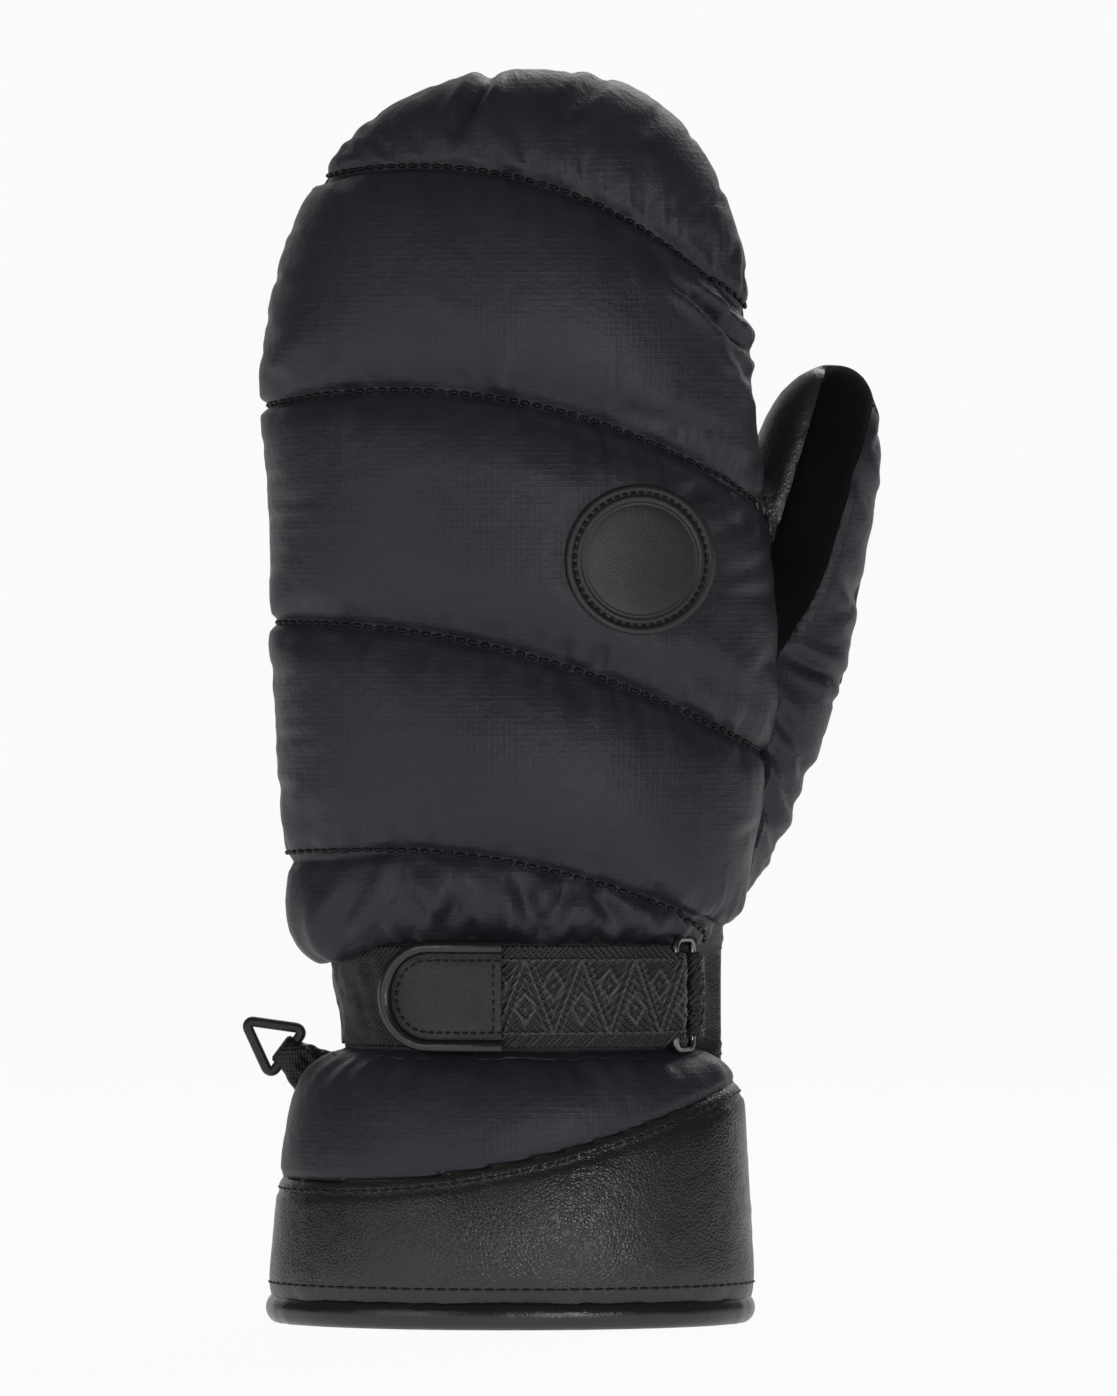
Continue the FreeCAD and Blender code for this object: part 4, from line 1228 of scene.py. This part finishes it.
place(ribbon("tab_leather", tab_path, 65.6, 92.4, 1.6, 0.9, tab_skin, tab_crown, tab_shape),
      "flap", "trim_leather", "strap_tab")


def rolled(name, points, radius, material, cyclic=False):
    """A round roll along points, made by bevelling a curve."""
    curve = bpy.data.curves.new(name, "CURVE")
    curve.dimensions = "3D"
    curve.bevel_depth = radius * MM
    curve.bevel_resolution = 4
    curve.use_fill_caps = True
    line = curve.splines.new("NURBS")
    line.points.add(len(points) - 1)
    for spot, point in zip(line.points, points):
        spot.co = (*(point * MM), 1)
    line.order_u = 3
    line.use_endpoint_u = not cyclic
    line.use_cyclic_u = cyclic
    line.resolution_u = 4
    source = bpy.data.objects.new(name, curve)
    mesh = bpy.data.meshes.new_from_object(source)
    bpy.data.objects.remove(source)
    mesh.materials.clear()
    mesh.materials.append(material)
    mesh.polygons.foreach_set("use_smooth", [True] * len(mesh.polygons))
    item = bpy.data.objects.new(name, mesh)
    bpy.context.scene.collection.objects.link(item)
    return item


outline = [on_tab(*tab_outline(ROLL, step / 60), 0.35)[0] for step in range(61)]
place(rolled("tab_roll", outline, ROLL, trim_leather), "flap", "trim_leather", "tab_piping")
row = [on_tab(*tab_outline(4.8, step / 80), 0.55) for step in range(81)]
end = [on_tab(tab_path.length - 2.0, STRAP_Z - 8.6 + 17.2 * step / 20, 0.4) for step in range(21)]
bm = bmesh.new()
dashes(bm, row, pitch=2.1, length=1.5, radius=0.3)
dashes(bm, end, pitch=2.1, length=1.5, radius=0.3)
place(build("tab_stitches", bm, thread), "flap", "thread", "tab_thread")

# %% [markdown]
# ## Badge
#
# A pressed leather disc 36 mm across, plain, with a rounded rim, a sewn channel and a double line pressed
# round its bare middle. Its outline is turned once and then bent to the seat made for it.

# %% Turn the badge
BADGE_ROW = 15.75   # radius of its stitching
DISC = ((0, 1.5), (4, 1.5), (8, 1.5), (12.7, 1.5), (13.1, 1.0), (13.5, 1.5), (13.9, 1.0), (14.3, 1.5),
        (15.0, 1.5), (15.4, 0.95), (16.1, 0.95), (16.5, 1.7), (17.2, 1.65), (17.75, 1.2), (18.0, 0.6),
        (17.8, 0.15), (17.3, 0.0), (9, 0.0), (0, 0.0))
bm = bmesh.new()
line = [bm.verts.new((radius, 0, height)) for radius, height in DISC]
for one, two in zip(line, line[1:]):
    bm.edges.new((one, two))
bmesh.ops.spin(bm, geom=bm.verts[:] + bm.edges[:], cent=(0, 0, 0), axis=(0, 0, 1), angle=2 * math.pi,
               steps=96, use_merge=True)
bmesh.ops.remove_doubles(bm, verts=bm.verts, dist=0.001)
for vert in bm.verts:
    x, z = BADGE_X + vert.co.x, BADGE_Z + vert.co.y
    vert.co = (x, badge_back(x, z) - vert.co.z, z)
bmesh.ops.recalc_face_normals(bm, faces=bm.faces)
disc = build("leather_badge", bm, badge_skin)
finer = disc.modifiers.new("finer", "SUBSURF")
finer.levels = finer.render_levels = 1
place(disc, "mitten", "badge", "badge_patch")
row = []
for step in range(121):
    turn = step / 120 * 2 * math.pi
    x, z = BADGE_X + BADGE_ROW * math.cos(turn), BADGE_Z + BADGE_ROW * math.sin(turn)
    row.append((Vector((x, badge_back(x, z) - 1.2, z)), Vector((0, -1, 0))))
bm = bmesh.new()
dashes(bm, row, pitch=2.06, length=1.5, radius=0.3)
place(build("badge_stitches", bm, thread), "mitten", "thread", "badge_thread")

# %% [markdown]
# ## Clip and tether
#
# A moulded triangle with round corners clips the pair of mittens together. It hangs in a loop of webbing
# that is bunched where it is sewn into the side seam.

# %% Clip
CLIP_AT = Vector((-53.9, 10.0, 64.4))
ALONG, APEX = Vector((0.5976, 0, 0.8018)), Vector((-0.8018, 0, 0.5976))
corners = [CLIP_AT + ALONG * 7.1, CLIP_AT + APEX * 13.0, CLIP_AT - ALONG * 7.1]
line = []
for one, two in zip(corners, corners[1:] + corners[:1]):
    line += [one.lerp(two, share) for share in (0.1, 0.22, 0.4, 0.6, 0.78, 0.9)]
place(rolled("clip_triangle", line, 1.25, acetal, cyclic=True), "clip", "clip_plastic", "clip_ring")

# %% Tether
bm = bmesh.new()
TETHER = ((-2.4, 3.0, 0.9), (-1.9, 3.7, 2.0), (-0.6, 3.9, 2.6), (1, 4.1, 2.7), (2.6, 4.6, 2.5),
          (4.5, 5.4, 2.2), (7, 6.2, 2.1), (10, 6.7, 2.2), (13, 6.8, 2.2), (16, 6.7, 2.0), (19, 6.4, 1.8),
          (21, 6.0, 1.6))
ring_loft(bm, [(run, 0, 0, wide, thick) for run, wide, thick in TETHER])
lengthwise = [edge for edge in bm.edges if abs(edge.verts[0].co.z - edge.verts[1].co.z) > 0.5]
bmesh.ops.subdivide_edges(bm, edges=lengthwise, cuts=4, use_grid_fill=True)
weave = bm.verts.layers.float_vector.new("weave")
bm.normal_update()
for vert in bm.verts:
    x, y, z = vert.co
    vert[weave] = Vector((x, z, 0))
    crease = noise.noise(Vector((x / 1.6 + 0.05 * z, y / 3, z / 12)))
    crease += 0.5 * noise.noise(Vector((x / 3, y / 2, z / 3.5)))
    vert.co += vert.normal * 0.7 * crease * ease(z, 0.5, 5)
turn = Matrix((ALONG, Vector((0, -1, 0)), -APEX)).transposed().to_4x4()
bmesh.ops.transform(bm, verts=bm.verts, matrix=Matrix.Translation(CLIP_AT) @ turn)
bmesh.ops.recalc_face_normals(bm, faces=bm.faces)
place(build("tether", bm, webbing), "mitten", "clip_webbing", "clip_loop")

# %% [markdown]
# ## Finishes of the rigid pieces
#
# The wire ring and the hidden cord and membrane keep their own shapes and only take a finish.

# %% Finishes for the nodes that stay
KEPT = {"strap_ring": steel, "hem_cord": cord, "membrane": membrane}
for name, material in KEPT.items():
    node = bpy.data.objects[name]
    for slot in node.material_slots:
        slot.material = material
    print(name, "finished as", material.name)

# %% [markdown]
# ## Floor, light and camera
#
# The mitten stands on a white sweep. The sweep shows white to the camera and in reflections, but lights
# little by that: the lamps and a faint white world light the mitten, so its blacks stay black. A large
# soft lamp at the left and a smaller one at the right, both low, give the satin highlights, and a third
# above and behind rims the outline.

# %% Floor
floor = bmesh.new()
bmesh.ops.create_grid(floor, x_segments=1, y_segments=1, size=3000)
bmesh.ops.translate(floor, vec=(0, 0, -0.4), verts=floor.verts)
back_wall = [edge for edge in floor.edges if all(vert.co.y > 0 for vert in edge.verts)]
risen = bmesh.ops.extrude_edge_only(floor, edges=back_wall)["geom"]
risen = [part for part in risen if isinstance(part, bmesh.types.BMVert)]
bmesh.ops.translate(floor, vec=(0, 0, 3000), verts=risen)
bend = [edge for edge in floor.edges if len(edge.link_faces) == 2]
bmesh.ops.bevel(floor, geom=bend, offset=900, segments=12, profile=0.5, affect="EDGES", material=-1)
bmesh.ops.recalc_face_normals(floor, faces=floor.faces)

paper, tree, shader = finish("studio_paper", 0.9)
shader.inputs["Base Color"].default_value = linear("#f4f4f4")
glow = add(tree, "Emission", {"Color": (1, 1, 1, 1), "Strength": 1.0})
path = add(tree, "LightPath")
seen = add(tree, "Math", {0: path.outputs["Is Camera Ray"], 1: path.outputs["Is Glossy Ray"]},
           operation="MAXIMUM")
seen = add(tree, "Math", {0: seen.outputs[0], 1: path.outputs["Is Transmission Ray"]},
           operation="MAXIMUM")
part = add(tree, "Math", {0: seen.outputs[0], 1: 0.95}, operation="MULTIPLY")
both = add(tree, "MixShader", {0: part.outputs[0], 1: shader.outputs[0], 2: glow.outputs[0]})
tree.links.new(both.outputs[0], tree.nodes["Material Output"].inputs["Surface"])
sweep = build("studio_sweep", floor, paper)

# %% World and lamps
world = bpy.data.worlds.new("studio")
world.use_nodes = True
tree = world.node_tree
background = tree.nodes["Background"]
path = add(tree, "LightPath")
seen = add(tree, "Math", {0: path.outputs["Is Camera Ray"], 1: path.outputs["Is Transmission Ray"]},
           operation="MAXIMUM")
strength = add(tree, "MapRange", {"Value": seen.outputs[0], "To Min": 0.12, "To Max": 1.0})
tree.links.new(strength.outputs[0], background.inputs["Strength"])
background.inputs["Color"].default_value = (1, 1, 1, 1)
bpy.context.scene.world = world

LAMPS = (
    # name, place, width, height, watts
    ("key", (-0.85, -1.15, 0.3), 0.7, 0.7, 2.6),
    ("fill", (0.46, -1.35, 0.1), 0.4, 0.4, 5.5),
    ("rim", (0.35, 0.9, 1.0), 0.9, 0.5, 5.0),
)
AIM = Vector((0.01, 0.0, 0.15))
for name, spot, width, height, watts in LAMPS:
    light = bpy.data.lights.new(name, "AREA")
    light.shape = "RECTANGLE"
    light.size, light.size_y, light.energy = width, height, watts
    lamp = bpy.data.objects.new(name, light)
    lamp.location = spot
    lamp.rotation_euler = (AIM - Vector(spot)).to_track_quat("-Z", "Y").to_euler()
    bpy.context.scene.collection.objects.link(lamp)
print("lamps:", len(LAMPS))

# %% Camera
# A long lens, level with the middle of the mitten. The view is 336 mm high at the mitten.
VIEW_HEIGHT, DISTANCE, SENSOR = 0.3362, 2.6, 36.0
lens = bpy.data.cameras.new("camera")
lens.sensor_fit = "VERTICAL"
lens.sensor_height = SENSOR
lens.lens = SENSOR * DISTANCE / VIEW_HEIGHT
camera = bpy.data.objects.new("camera", lens)
camera.location = (0.0116, -DISTANCE, 0.1501)
camera.rotation_euler = (math.pi / 2, 0, 0)
bpy.context.scene.collection.objects.link(camera)
bpy.context.scene.camera = camera
bpy.context.scene.view_settings.view_transform = "Standard"
